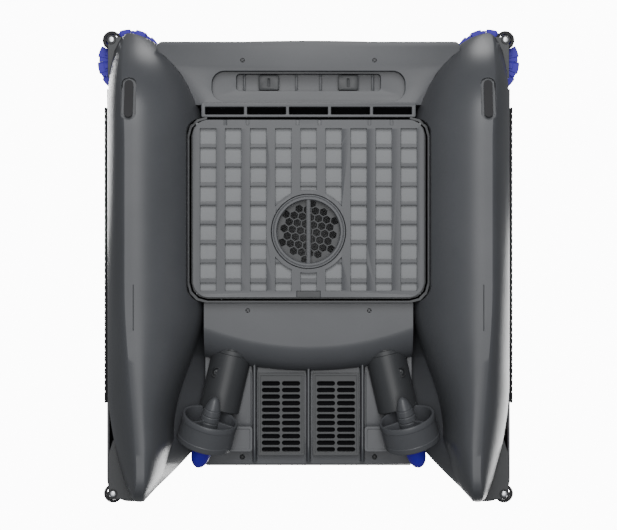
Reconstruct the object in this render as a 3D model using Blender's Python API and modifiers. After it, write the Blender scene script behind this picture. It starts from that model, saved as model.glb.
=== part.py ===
"""A cordless pool skimmer: a catamaran robot that drives round a pool and gathers leaves in a basket.

It stands right way up on its two hulls, +Z up, with its front to -Y. The origin is at the middle of its
footprint, on the ground. Sizes below are in millimetres. "Left" is the -X side.
"""

import math

import bmesh
import bpy
from mathutils import Matrix, Vector

MM = 0.001
GAP = 0.35  # clearance between pieces that touch
LEFT, RIGHT = -1, 1
SIDES = {"left": LEFT, "right": RIGHT}

# Hulls: half-widths from the middle of the skimmer, and lengths along it.
HULL_OUT, HULL_IN = 202.9, 104.0
BOW_TIP_X, BOW_TIP_Y = 181.0, -234.0
STERN_TIP_X, STERN_TIP_Y = 169.0, 238.0
BOW_OUT_START, BOW_IN_START = -149.0, -130.0
STERN_OUT_START, STERN_IN_START = 120.0, 172.0
KEEL_X = 172.7
KEEL_LAND = 3.5  # half the width of the flat strip that the hull stands on
FOREFOOT_START, STERNPOST_START = -120.0, 190.0
HULL_RIM = 103.0
HULL_WALL = 2.6
HULL_STATIONS = 16
PAD_X, PAD_Y, PAD_Z, PAD_TILT = 172.9, -160.0, 6.8, math.radians(16)  # oval pad under each forefoot
SIDE_POINTS = 4

# Deck plate that closes each hull, and the wall rollers at its corners.
PLATE_LOW, PLATE_HIGH = HULL_RIM + GAP, 106.0
ROLLER_R, ROLLER_LOW, ROLLER_HIGH = 9.4, 92.1, 102.8
ROLLERS = {"front": (198.1, -226.4), "rear": (196.7, 230.0)}
BRACKET_LOW, BRACKET_HIGH = 88.5, 91.6
PIN_R = 2.0

# Side brushes at the front corners.
BRUSH_X, BRUSH_Y, BRUSH_R = 180.7, -206.0, 33.5
BRUSH_LOW, BRUSH_HIGH = 109.0, 124.0
PETALS = 12

# Upper cover: a skirt, then a rounded shoulder up to a flat deck.
COVER_HALF, COVER_FRONT, COVER_REAR = 204.5, -222.0, 240.0
COVER_LOW, SHOULDER_LOW, DECK = 106.0 + GAP, 128.0, 186.0
SHOULDER = 60.0  # how far in from the edge the shoulder reaches
FRONT_CORNER, REAR_CORNER = 33.5, 23.5
LIP_REACH, LIP_HALF = 8.0, 88.0
COVER_WALL = 2.6
TAIL_HALF, TAIL_REAR = 109.0, 203.0

# Basket and the well it drops into.
WELL_HALF, WELL_FRONT, WELL_REAR = 119.2, -146.0, 37.2
WELL_WALL, WELL_LOW, WELL_HIGH = 2.0, 50.5, 181.5
WELL_CORNER = 18.0
TUB_HALF, TUB_FRONT, TUB_REAR = 115.5, -143.4, 33.4
TUB_LOW, TUB_HIGH, TUB_WALL = 56.6, 183.0, 2.0
DOOR_HALF, DOOR_FRONT, DOOR_REAR = 113.8, -143.0, 31.8
DOOR_LOW, DOOR_HIGH = 51.0, 54.6
HANDLE_HALF = 81.4
WINDOWS, WINDOW_PITCH_X, WINDOW_PITCH_Y = 9, 24.7, 18.9
WINDOW_X, WINDOW_Y, FIRST_ROW = 16.0, 15.5, -134.5
VALVE_Y, VALVE_R, VALVE_BORE = -33.0, 36.4, 31.2

# Inlet: the mouth between the hulls and the box under it.
MOUTH_HALF, MOUTH_LOW, MOUTH_HIGH = 100.0, 90.6, 125.0
FRONT_BOX_LOW, FRONT_BOX_HIGH, FRONT_BOX_FACE = 64.0, 88.0, -221.5
SLOT_FRAME_LOW, SLOT_FRAME_FRONT, SLOT_FRAME_HALF = 60.0, -158.6, 106.0

# Tail: a cross box behind the basket, and a raised underside with two grilles.
BRIDGE_LOW, TAIL_LOW, TAIL_TOP = 61.0, 90.0, 105.6
BRIDGE_FRONT, BRIDGE_EDGE, BRIDGE_END = 37.6, 80.0, 106.0
BRIDGE_SAG = 20.0
TAIL_WALL = 2.6
GRILLE_IN, GRILLE_OUT, GRILLE_FRONT, GRILLE_REAR = 4.5, 50.5, 108.5, 191.0
FINS = (-54.0, 0.0, 54.0)

# Thrusters.
DUCT_X, DUCT_Y, DUCT_Z = 100.1, 163.0, 58.0
DUCT_R, DUCT_BORE, DUCT_HALF = 28.0, 25.0, 14.0
TOE_OUT, RISE = math.radians(15.4), math.radians(18.0)
FAIRING_R, FAIRING_Z = 20.0, 85.5

parts = bpy.data.collections.new("pool_cleaner")
helpers = bpy.data.collections.new("cutters")


# ---------------------------------------------------------------- helpers


def clear_scene():
    for obj in list(bpy.data.objects):
        bpy.data.objects.remove(obj)
    for collection in (parts, helpers):
        bpy.context.scene.collection.children.link(collection)


def material(name, colour, roughness=0.45, metallic=0.0):
    found = bpy.data.materials.get(name)
    if found:
        return found
    made = bpy.data.materials.new(name)
    made.use_nodes = True
    shader = made.node_tree.nodes["Principled BSDF"]
    shader.inputs["Base Color"].default_value = (*colour, 1)
    shader.inputs["Roughness"].default_value = roughness
    shader.inputs["Metallic"].default_value = metallic
    return made


PAINT = {
    "charcoal": ((0.105, 0.108, 0.115), 0.42, 0.0),
    "dark": ((0.035, 0.036, 0.04), 0.5, 0.0),
    "black": ((0.012, 0.012, 0.014), 0.6, 0.0),
    "blue": ((0.035, 0.03, 0.5), 0.4, 0.0),
    "mesh": ((0.27, 0.28, 0.29), 0.7, 0.0),
    "steel": ((0.55, 0.56, 0.58), 0.3, 1.0),
    "solar": ((0.01, 0.015, 0.05), 0.15, 0.0),
    "lens": ((0.5, 0.7, 0.9), 0.1, 0.0),
}


def place(obj, paint):
    """Makes the object a piece of the skimmer, in the named finish."""
    parts.objects.link(obj)
    if paint:
        obj.data.materials.clear()
        obj.data.materials.append(material(paint, *PAINT[paint]))
    smooth(obj)
    return obj


def helper(obj):
    """Makes the object a cutter or a shape to join, which isn't a piece itself."""
    helpers.objects.link(obj)
    obj.hide_render = True
    obj.display_type = "WIRE"
    return obj


def smooth(obj):
    obj.data.shade_smooth()
    obj.data.set_sharp_from_angle(angle=math.radians(35))


def object_from(name, mesh_builder):
    """An object whose mesh is the bmesh that the builder gives, with its faces turned outwards."""
    bmesh.ops.recalc_face_normals(mesh_builder, faces=mesh_builder.faces)
    mesh = bpy.data.meshes.new(name)
    mesh_builder.to_mesh(mesh)
    mesh_builder.free()
    return bpy.data.objects.new(name, mesh)


def box(name, low, high):
    """A box between two corners."""
    size = Vector(high) - Vector(low)
    centre = (Vector(high) + Vector(low)) / 2
    builder = bmesh.new()
    bmesh.ops.create_cube(builder, size=1)
    bmesh.ops.scale(builder, vec=size * MM, verts=builder.verts)
    bmesh.ops.translate(builder, vec=centre * MM, verts=builder.verts)
    return object_from(name, builder)


def cylinder(name, centre, radius, low, high, sides=32):
    """An upright cylinder round the point centre = (x, y)."""
    builder = bmesh.new()
    bmesh.ops.create_cone(
        builder,
        cap_ends=True,
        segments=sides,
        radius1=radius * MM,
        radius2=radius * MM,
        depth=(high - low) * MM,
    )
    middle = Vector((centre[0], centre[1], (low + high) / 2)) * MM
    bmesh.ops.translate(builder, vec=middle, verts=builder.verts)
    return object_from(name, builder)


def prism(name, outline, low, high):
    """A flat outline of (x, y) points, extruded from one height to another."""
    curve = bpy.data.curves.new(name, "CURVE")
    curve.dimensions = "2D"
    curve.fill_mode = "BOTH"
    curve.extrude = (high - low) / 2 * MM
    spline = curve.splines.new("POLY")
    spline.points.add(len(outline) - 1)
    for point, (x, y) in zip(spline.points, outline):
        point.co = (x * MM, y * MM, 0, 1)
    spline.use_cyclic_u = True
    guide = bpy.data.objects.new(name, curve)
    mesh = bpy.data.meshes.new_from_object(guide)
    bpy.data.objects.remove(guide)
    builder = bmesh.new()
    builder.from_mesh(mesh)
    bpy.data.meshes.remove(mesh)
    bmesh.ops.remove_doubles(builder, verts=builder.verts, dist=1e-6)
    bmesh.ops.translate(builder, vec=(0, 0, (low + high) / 2 * MM), verts=builder.verts)
    return object_from(name, builder)


def turned(name, profile, sides=24):
    """A turned solid about Z. The profile is (radius, height) points, down the outer side."""
    mesh = bpy.data.meshes.new(name)
    points = [(radius * MM, 0, height * MM) for radius, height in profile]
    closed = profile[0][0] > 0
    edges = [(i, i + 1) for i in range(len(points) - 1)]
    if closed:
        edges.append((len(points) - 1, 0))
    mesh.from_pydata(points, edges, [])
    obj = bpy.data.objects.new(name, mesh)
    screw = obj.modifiers.new("turn", "SCREW")
    screw.axis = "Z"
    screw.steps = sides
    screw.render_steps = sides
    screw.use_merge_vertices = True
    screw.merge_threshold = 0.00001
    screw.use_smooth_shade = True
    return obj


def loft(name, sections):
    """A closed skin over sections that have the same number of points, with flat ends."""
    builder = bmesh.new()
    rings = [[builder.verts.new(Vector(point) * MM) for point in ring] for ring in sections]
    count = len(rings[0])
    for first, second in zip(rings, rings[1:]):
        for i in range(count):
            after = (i + 1) % count
            builder.faces.new((first[i], first[after], second[after], second[i]))
    builder.faces.new(rings[0])
    builder.faces.new(rings[-1])
    return object_from(name, builder)


def boolean(obj, other, operation):
    modifier = obj.modifiers.new(f"{operation.lower()} {other.name}", "BOOLEAN")
    modifier.operation = operation
    modifier.object = other
    modifier.solver = "EXACT"
    return obj


def cut(obj, *cutters):
    for cutter in cutters:
        boolean(obj, cutter, "DIFFERENCE")
    return obj


def join(obj, *others):
    for other in others:
        boolean(obj, other, "UNION")
    return obj


def repeat(obj, axis, count, step):
    """Copies a cutter in a row along X (0) or Y (1)."""
    array = obj.modifiers.new("row", "ARRAY")
    array.count = count
    array.use_relative_offset = False
    array.use_constant_offset = True
    array.constant_offset_displace = [step * MM if i == axis else 0 for i in range(3)]
    return obj


def pivot(obj, point):
    """Moves the object's origin to a point on its joint's axis, and leaves its shape where it is."""
    offset = Vector(point) * MM
    obj.data.transform(Matrix.Translation(-offset))
    obj.location = offset
    return obj


def arc(centre, radius, start, end, steps):
    """Points round an arc, between two angles in degrees."""
    angles = [math.radians(start + (end - start) * i / steps) for i in range(steps + 1)]
    return [(centre[0] + radius * math.cos(a), centre[1] + radius * math.sin(a)) for a in angles]


def rounded_box(x_low, x_high, y_low, y_high, radius, steps=5):
    """The outline of a rectangle with round corners."""
    return (
        arc((x_high - radius, y_high - radius), radius, 0, 90, steps)
        + arc((x_low + radius, y_high - radius), radius, 90, 180, steps)
        + arc((x_low + radius, y_low + radius), radius, 180, 270, steps)
        + arc((x_high - radius, y_low + radius), radius, 270, 360, steps)
    )


def flipped(points, side):
    """Outline points drawn for +X, on the given side."""
    return [(side * x, y) for x, y in points]


def smoothstep(t):
    t = min(max(t, 0.0), 1.0)
    return t * t * (3 - 2 * t)


def bow_curve(t, power):
    """1 at t = 0 and 0 at t = 1, along a superellipse."""
    return max(1 - min(max(t, 0.0), 1.0) ** power, 0.0) ** (1 / power)


# ---------------------------------------------------------------- hulls


def hull_edges(y):
    """The hull's outer and inner half-widths at its rim."""
    outer = HULL_OUT
    inner = HULL_IN
    if y < BOW_OUT_START:
        t = (BOW_OUT_START - y) / (BOW_OUT_START - BOW_TIP_Y)
        outer = BOW_TIP_X + (HULL_OUT - BOW_TIP_X) * bow_curve(t, 2.2)
    if y > STERN_OUT_START:
        t = (y - STERN_OUT_START) / (STERN_TIP_Y - STERN_OUT_START)
        outer = STERN_TIP_X + (HULL_OUT - STERN_TIP_X) * bow_curve(t, 1.65)
    if y < BOW_IN_START:
        t = (BOW_IN_START - y) / (BOW_IN_START - BOW_TIP_Y)
        inner = BOW_TIP_X - (BOW_TIP_X - HULL_IN) * bow_curve(t, 1.7)
    if y > STERN_IN_START:
        t = (y - STERN_IN_START) / (STERN_TIP_Y - STERN_IN_START)
        inner = STERN_TIP_X - (STERN_TIP_X - HULL_IN) * bow_curve(t, 1.08)
    return outer, inner


def keel(y):
    """The keel's half-width from the middle of the skimmer, and its height."""
    bow = max((FOREFOOT_START - y) / (FOREFOOT_START - BOW_TIP_Y), 0)
    stern = max((y - STERNPOST_START) / (STERN_TIP_Y - STERNPOST_START), 0)
    x = KEEL_X + 8.3 * bow**1.5 - 11.5 * smoothstep((y - 20) / 190) + 7.0 * stern**3
    return x, (HULL_RIM - 8) * (bow**3.1 + stern**6)


def hull_section(y, side, grow, top):
    """One section of the hull, from the outer rim round the keel to the inner rim, grown outwards."""
    outer, inner = hull_edges(y)
    middle, low = keel(y)
    outer += grow
    inner -= grow
    low -= grow
    land = min(KEEL_LAND, 0.15 * (outer - inner))
    chine = smoothstep((y - 40) / 128)
    reach = 1 - 0.54 * chine + 0.3 * smoothstep((y - 185) / 50)
    rise = 0.83 - 0.15 * chine
    height = HULL_RIM - low
    points = [(outer, top)]
    for i in range(SIDE_POINTS + 1):
        angle = math.pi / 2 * i / SIDE_POINTS
        along = 1 - abs(math.cos(angle)) ** (2 / 1.5)
        down = 1 - math.sin(angle) ** (2 / 1.5)
        points.append((outer + (middle + land - outer) * along, low + height * down))
    for i in range(SIDE_POINTS + 1):
        angle = math.pi / 2 * i / SIDE_POINTS
        along = reach * math.sin(angle) ** (2 / 1.95)
        up = rise * (1 - abs(math.cos(angle)) ** (2 / 1.95))
        points.append((middle - land + (inner - middle + land) * along, low + height * up))
    points.append((inner, HULL_RIM))
    points.append((inner, top))
    below_rim = 0.5
    points[1] = (outer, HULL_RIM - below_rim)
    return [(side * x, y, z) for x, z in points]


def hull_solid(name, side, grow, top):
    """The hull's whole outside, grown outwards by grow (or inwards, where it is negative)."""
    front = BOW_TIP_Y + 0.6 - min(grow, 0) * 1.6
    back = STERN_TIP_Y - 0.6 + min(grow, 0) * 2.2
    middle = (front + back) / 2
    half = (back - front) / 2
    steps = [-math.cos(math.pi * i / HULL_STATIONS) for i in range(HULL_STATIONS + 1)]
    return loft(name, [hull_section(middle + half * step, side, grow, top) for step in steps])


def well_block(name, grow, low, high):
    """The space of the basket well, with its round corners."""
    outline = rounded_box(
        -WELL_HALF - grow, WELL_HALF + grow, WELL_FRONT - grow, WELL_REAR + grow, WELL_CORNER, 3
    )
    return prism(name, outline, low, high)


def hull_outline(side, grow):
    """The rim's outline, seen from above."""
    count = 14
    ys = []
    for i in range(count + 1):
        ys.append((BOW_TIP_Y + STERN_TIP_Y) / 2 - math.cos(math.pi * i / count) * 235.2)
    outer = [(hull_edges(y)[0] + grow, y) for y in ys]
    inner = [(hull_edges(y)[1] - grow, y) for y in reversed(ys)]
    return flipped(outer + inner, side)


def corner_plate(end):
    """The outline of the plate that carries a wall roller, for +X."""
    x, y = ROLLERS[end]
    if end == "front":
        return [(201.4, -188.0), (185.0, -188.0), (178.0, -229.0), (201.4, -229.0)]
    corner = arc((x - 3.5, y - 2.6), 7.6, 90, 0, 4)
    return [(170.0, 176.0), (170.0, 235.0)] + corner + [(200.8, 190.0), (196.4, 176.0)]


def make_hull(word, side, clearance):
    """The pontoon shell, its deck plate, its corner brackets and its rollers."""
    shell = place(hull_solid(f"pontoon_shell_{word}", side, 0, HULL_RIM), "charcoal")
    cavity = helper(hull_solid(f"hull_cavity_{word}", side, -HULL_WALL, HULL_RIM + 4))
    pocket_at = (side * ROLLERS["front"][0], ROLLERS["front"][1])
    pocket = helper(cylinder(f"roller_pocket_{word}", pocket_at, 10.6, BRACKET_HIGH, 120, 20))
    wall = helper(cylinder(f"pocket_wall_{word}", pocket_at, 13.0, BRACKET_HIGH - 2.5, 125, 20))
    recess = helper(prism(f"pad_recess_{word}", rounded_box(-7.2, 7.2, -22, 22, 7.15, 4), -20, 3.5))
    boss = helper(prism(f"pad_boss_{word}", rounded_box(-10, 10, -25, 25, 9.9, 4), -20, 6.3))
    pad = prism(f"keel_pad_{word}", rounded_box(-6.7, 6.7, -21.5, 21.5, 6.65, 4), 0, 3.5 - GAP)
    for piece in (recess, boss, pad):
        piece.location = (side * PAD_X * MM, PAD_Y * MM, PAD_Z * MM)
        piece.rotation_euler.x = -PAD_TILT
    cut(cavity, wells["hull_wall"], wall, boss)
    cut(shell, wells["hull"], cavity, pocket, recess)
    place(pad, "charcoal")

    plate = prism(f"pontoon_deck_{word}", hull_outline(side, 0), PLATE_LOW, PLATE_HIGH)
    place(plate, "charcoal")
    for end, (x, y) in ROLLERS.items():
        make_corner(word, side, end, (side * x, y), plate, clearance)
    cut(plate, wells["hull"])


def make_corner(word, side, end, axis, plate, clearance):
    """A wall roller with its pin, its bracket, and the lug of the deck plate that the pin is held in."""
    label = f"{end}_{word}"
    lug = helper(prism(f"lug_{label}", flipped(corner_plate(end), side), PLATE_LOW, PLATE_HIGH))
    hole = helper(cylinder(f"pin_hole_{label}", axis, PIN_R + GAP, 60, 120, 12))
    join(plate, lug)
    cut(plate, hole)
    outline = flipped(corner_plate(end), side)
    bracket = prism(f"corner_bracket_{label}", outline, BRACKET_LOW, BRACKET_HIGH)
    place(bracket, "charcoal")
    post_y = -200.0 if end == "front" else 190.0
    post_x = side * (196.0 if end == "front" else 192.0)
    post_low = (post_x - 5, post_y - 6, BRACKET_LOW + 1)
    post = helper(box(f"post_{label}", post_low, (post_x + 5, post_y + 6, HULL_RIM)))
    join(bracket, post)
    cut(bracket, hole, clearance)
    tyre = [
        (PIN_R + GAP, ROLLER_LOW),
        (PIN_R + GAP, ROLLER_HIGH),
        (ROLLER_R - 1.2, ROLLER_HIGH),
        (ROLLER_R, ROLLER_HIGH - 1.2),
        (ROLLER_R, ROLLER_LOW + 1.2),
        (ROLLER_R - 1.2, ROLLER_LOW),
    ]
    roller = turned(f"wall_roller_{label}", tyre, 14)
    roller.location = (axis[0] * MM, axis[1] * MM, 0)
    place(roller, "dark")
    pin = [(0, PLATE_HIGH), (PIN_R, PLATE_HIGH), (PIN_R, BRACKET_LOW - GAP)]
    pin += [(3.0, BRACKET_LOW - GAP), (3.0, BRACKET_LOW - 1.1), (0, BRACKET_LOW - 1.1)]
    pin_object = turned(f"roller_pin_{label}", pin, 8)
    pin_object.location = (axis[0] * MM, axis[1] * MM, 0)
    place(pin_object, "dark")


# ---------------------------------------------------------------- upper cover


def cover_ring(inset, height, grow):
    """The cover's outline at one height. It is a rectangle with round corners and a lip at the front."""
    half = COVER_HALF - inset + grow
    front = COVER_FRONT + inset - grow
    rear = COVER_REAR - inset + grow
    front_r = FRONT_CORNER + 0.2 * inset
    rear_r = REAR_CORNER + 0.4 * inset
    points = arc((half - rear_r, rear - rear_r), rear_r, 0, 90, 6)
    points += arc((rear_r - half, rear - rear_r), rear_r, 90, 180, 6)
    points += arc((front_r - half, front + front_r), front_r, 180, 270, 6)
    lip = LIP_REACH * max(1 - inset / 30, 0)
    for i in range(1, 12):
        x = -108 + 216 * i / 12
        bulge = smoothstep((LIP_HALF - abs(x)) / 28) * (0.8 + 0.2 * (1 - (x / LIP_HALF) ** 2))
        points.append((x, front - lip * bulge))
    points += arc((half - front_r, front + front_r), front_r, 270, 360, 6)
    return [(x, y, height) for x, y in points]


def cover_solid(name, grow, low):
    steps = [math.radians(angle) for angle in (15, 32, 50, 70, 90)]
    rings = [cover_ring(1.0, low, grow), cover_ring(0, low + 2.5, grow)]
    rings.append(cover_ring(0, SHOULDER_LOW + grow, grow))
    for angle in steps:
        inset = SHOULDER * (1 - math.cos(angle))
        height = SHOULDER_LOW + (DECK - SHOULDER_LOW) * math.sin(angle)
        rings.append(cover_ring(inset, height + grow, grow))
    return loft(name, rings)


def stern_notch(grow):
    """The outline of the open water behind the tail, between the two stern lobes and round the tail."""
    half = [
        (TAIL_HALF - 6 - grow, TAIL_REAR - grow),
        (TAIL_HALF - grow, TAIL_REAR - 6 - grow),
        (TAIL_HALF - grow, 186.0 - grow),
        (119.7 + grow, 188.5 - grow),
        (166.5 + grow, 239.2),
        (172.0 + grow, 262.0),
    ]
    return half + [(-x, y) for x, y in reversed(half)]


def make_cover():
    cover = place(cover_solid("top_cover", 0, COVER_LOW), "charcoal")
    cavity = helper(cover_solid("cover_cavity", -COVER_WALL, COVER_LOW - 6))
    notch = helper(prism("stern_notch", stern_notch(0), 80, 260))
    inner_notch = helper(prism("inner_notch", stern_notch(COVER_WALL), 70, 270))
    mouth_low = (-MOUTH_HALF - 4, -250, 80)
    mouth = helper(box("cover_mouth", mouth_low, (MOUTH_HALF + 4, -150, MOUTH_HIGH + 3)))
    cut(cavity, inner_notch)
    cut(cover, cavity, notch, mouth, wells["deck"])
    for side in SIDES.values():
        at = (side * BRUSH_X, BRUSH_Y)
        slot = helper(cylinder(f"brush_slot_{side}", at, BRUSH_R + 2.5, 100, BRUSH_HIGH + 2.2, 24))
        cut(cover, slot)
    button_hole = helper(cylinder("button_hole", (60, -178), 9.4, 150, 260, 24))
    light_hole = helper(cylinder("light_hole", (-60, -178), 4.4, 150, 260, 16))
    port = helper(box("port_hole", (-TAIL_HALF + 22, 190, 120), (-TAIL_HALF + 46, 215, 134)))
    cut(cover, button_hole, light_hole, port)
    panel_outline = rounded_box(-118, 118, 62, 186, 10, 3)
    recess = helper(prism("solar_recess", panel_outline, DECK - 1.2, DECK + 20))
    cut(cover, recess)
    tray_outline = rounded_box(-117.6, 117.6, 62.4, 185.6, 9.6, 3)
    place(prism("solar_panel", tray_outline, DECK - 1.2 + GAP, DECK + 1.6), "solar")
    for word, side in SIDES.items():
        x = side * (COVER_HALF + GAP)
        low = (min(x, x + side * 2.2), -160, 108)
        strip = box(f"side_strip_{word}", low, (max(x, x + side * 2.2), 140, 118))
        place(strip, "dark")


# ---------------------------------------------------------------- inlet and tail


def make_front_box(clearances):
    """The hollow box under the mouth, with its long recess and the frame with five slots."""
    shell = box("front_box", (-150, FRONT_BOX_FACE, FRONT_BOX_LOW), (150, SLOT_FRAME_FRONT, FRONT_BOX_HIGH))
    place(shell, "charcoal")
    frame_low = (-SLOT_FRAME_HALF, SLOT_FRAME_FRONT - 2, SLOT_FRAME_LOW)
    frame_high = (SLOT_FRAME_HALF, WELL_FRONT - GAP, FRONT_BOX_HIGH)
    frame = helper(box("slot_frame", frame_low, frame_high))
    cavity = helper(box("front_cavity", (-98, FRONT_BOX_FACE + 3, FRONT_BOX_LOW + 3), (98, -162, 100)))
    pocket_outline = rounded_box(-96, 96, -192.5, -162.5, 12.5, 4)
    pocket = helper(prism("front_pocket", pocket_outline, 50, 74))
    around = rounded_box(-99, 99, -195.5, -159.5, 15, 4)
    boss = helper(prism("pocket_boss", around, 50, 77))
    slot = helper(box("deep_slot", (-72, -190.5, 50), (72, -173.5, 84)))
    slot_boss = helper(box("slot_boss", (-75, -193.5, 50), (75, -170.5, 86)))
    cut(cavity, boss, slot_boss)
    gate = helper(box("frame_slot", (-102.4, -156.6, 50), (-63.8, -148.8, 80)))
    repeat(gate, 0, 5, 41.55)
    join(shell, frame)
    cut(shell, cavity, pocket, slot, gate, *clearances)

    channel_low = (-MOUTH_HALF - 2.3, -219, FRONT_BOX_HIGH + GAP)
    channel_high = (MOUTH_HALF + 2.3, WELL_FRONT - GAP, MOUTH_HIGH + 2.3)
    channel = place(box("inlet_channel", channel_low, channel_high), "charcoal")
    bore = helper(box("channel_bore", (-MOUTH_HALF, -230, MOUTH_LOW), (MOUTH_HALF, -140, MOUTH_HIGH)))
    cut(channel, bore)


def tail_section(x, grow, top):
    """The side view of the tail at x: the cross box, its curved rear wall and the raised underside."""
    sag = BRIDGE_SAG * (x / HULL_IN) ** 2
    front = BRIDGE_FRONT - grow
    points = [(front, top), (front, BRIDGE_LOW - grow)]
    edge = BRIDGE_EDGE - sag
    end = BRIDGE_END - 0.7 * sag
    for i in range(7):
        angle = math.pi / 2 * i / 6
        y = edge + (end - edge) * math.sin(angle) ** 1.2
        z = BRIDGE_LOW - grow + (TAIL_LOW - BRIDGE_LOW) * (1 - math.cos(angle))
        points.append((y + grow * 0.8, z))
    points += [(172 + grow, TAIL_LOW - grow), (TAIL_REAR - 3 + grow, TAIL_LOW + 3 - grow)]
    points += [(TAIL_REAR - 2 + grow, TAIL_LOW + 8), (TAIL_REAR - 2 + grow, top)]
    return [(x, y, z) for y, z in points]


def tail_solid(name, half, grow, top):
    count = 10
    places = [half * (2 * i / count - 1) for i in range(count + 1)]
    return loft(name, [tail_section(x, grow, top) for x in places])


def make_tail():
    tail = place(tail_solid("tail_fairing", HULL_IN - GAP, 0, TAIL_TOP), "charcoal")
    cavity = helper(tail_solid("tail_cavity", 100.0, -TAIL_WALL, TAIL_TOP + 8))
    cut(tail, cavity)
    for i, x in enumerate(FINS):
        fin = helper(box(f"fin_{i}", (x - 1.6, 92, 79), (x + 1.6, 197.5, TAIL_LOW + 1.5)))
        join(tail, fin)
    for word, side in SIDES.items():
        x_low, x_high = sorted((side * (GRILLE_IN + 4), side * (GRILLE_OUT - 4)))
        window = helper(box(f"intake_{word}", (x_low, 112, 80), (x_high, 187, 100)))
        cut(tail, window)
        grille_low = min(side * GRILLE_IN, side * GRILLE_OUT)
        grille_high = max(side * GRILLE_IN, side * GRILLE_OUT)
        low = (grille_low, GRILLE_FRONT, TAIL_LOW - GAP - 2.6)
        grille = box(f"intake_grille_{word}", low, (grille_high, GRILLE_REAR, TAIL_LOW - GAP))
        place(grille, "charcoal")
        first = grille_low + 3.9
        slots = helper(box(f"grille_slots_{word}", (first, 118.4, 70), (first + 18.2, 122.9, 110)))
        repeat(slots, 0, 2, 20.2)
        repeat(slots, 1, 10, 6.7)
        cut(grille, slots)


# ---------------------------------------------------------------- thrusters


def thruster_matrix(side):
    """Turns a shape drawn along +Z, pointing aft, into the thruster's own direction and place."""
    outward = side * math.sin(TOE_OUT) * math.cos(RISE)
    aft = Vector((outward, math.cos(TOE_OUT) * math.cos(RISE), math.sin(RISE)))
    turn = Vector((0, 0, 1)).rotation_difference(aft).to_matrix().to_4x4()
    return Matrix.Translation(Vector((side * DUCT_X, DUCT_Y, DUCT_Z)) * MM) @ turn


def make_thruster(word, side, clearance):
    """A fairing, the ring with its nose cone and struts, the motor inside it, and the propeller."""
    place_at = thruster_matrix(side)
    ring = [(0, DUCT_HALF), (DUCT_R - 1, DUCT_HALF), (DUCT_R, DUCT_HALF - 1.5)]
    ring += [(DUCT_R, 1.5 - DUCT_HALF), (DUCT_R - 1, -DUCT_HALF), (0, -DUCT_HALF)]
    duct = turned(f"thruster_duct_{word}", ring, 28)
    duct.matrix_world = place_at
    place(duct, "charcoal")
    bore = helper(turned(f"duct_bore_{word}", [(0, 40), (DUCT_BORE, 40), (DUCT_BORE, -40), (0, -40)], 28))
    bore.matrix_world = place_at
    nose = [(0, 2.0), (9.2, 2.0), (9.6, -13), (8.2, -24), (5.0, -32), (0, -36)]
    hub = helper(turned(f"duct_hub_{word}", nose, 20))
    hub.matrix_world = place_at
    socket = helper(turned(f"motor_socket_{word}", [(0, 9), (7.4, 9), (7.4, -18), (0, -18)], 16))
    socket.matrix_world = place_at
    inner_x, outer_x = sorted((side * 55.9, side * 84.0))
    arm = helper(box(f"duct_arm_{word}", (inner_x, 161, 75.5), (outer_x, 186, 79)))
    pylon_low, pylon_high = sorted((side * 93, side * 101))
    pylon = helper(box(f"duct_pylon_{word}", (pylon_low, 156, 78), (pylon_high, 176, TAIL_LOW - GAP)))
    join(duct, arm, pylon)
    cut(duct, bore)
    for i in range(3):
        strut = box(f"strut_{word}_{i}", (5, -1.2, -12), (DUCT_BORE + 1.5, 1.2, 1))
        helper(strut)
        strut.matrix_world = place_at @ Matrix.Rotation(math.radians(36 + 120 * i), 4, "Z")
        join(hub, strut)
    cut(hub, socket)
    join(duct, hub)

    motor_profile = [(0, 12), (1.5, 12), (1.5, 2.4), (7.0, 2.4), (7.0, -17.6), (0, -17.6)]
    motor = turned(f"thruster_motor_{word}", motor_profile, 16)
    motor.matrix_world = place_at
    place(motor, "steel")

    cone = [(0, 28), (4.2, 26.4), (8.0, 21), (9.8, 13.5), (10.0, 4.2), (1.9, 4.2), (1.9, 13), (0, 13)]
    propeller = turned(f"propeller_{word}", cone, 20)
    propeller.matrix_world = place_at
    place(propeller, "blue")
    for i in range(3):
        blade = helper(box(f"blade_{word}_{i}", (7, -7.5, -0.9), (DUCT_BORE - 1.2, 7.5, 0.9)))
        turn = Matrix.Rotation(math.radians(120 * i), 4, "Z") @ Matrix.Translation((0, 0, 8.6 * MM))
        blade.matrix_world = place_at @ turn @ Matrix.Rotation(math.radians(side * 24), 4, "X")
        join(propeller, blade)

    fairing_axis = Vector((side * 83, 116, FAIRING_Z)) * MM
    turn = Matrix.Rotation(-side * math.radians(13), 4, "Z") @ Matrix.Rotation(math.radians(90), 4, "X")
    skin = [(0, 41), (FAIRING_R, 41), (FAIRING_R, -30), (0, -30)]
    fairing = turned(f"thruster_fairing_{word}", skin, 28)
    fairing.matrix_world = Matrix.Translation(fairing_axis) @ turn
    place(fairing, "charcoal")
    cut(fairing, clearance)
    inside = [(0, 39), (FAIRING_R - 2.4, 39), (FAIRING_R - 2.4, -27.6), (0, -27.6)]
    hollow = helper(turned(f"fairing_hollow_{word}", inside, 24))
    hollow.matrix_world = Matrix.Translation(fairing_axis) @ turn
    cut(fairing, hollow)
    sweep = [(0, 30), (DUCT_R + GAP, 30), (DUCT_R + GAP, -DUCT_HALF - GAP), (0, -DUCT_HALF - GAP)]
    room = helper(turned(f"duct_room_{word}", sweep, 28))
    room.matrix_world = place_at
    cut(fairing, room)


# ---------------------------------------------------------------- side brushes


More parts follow.
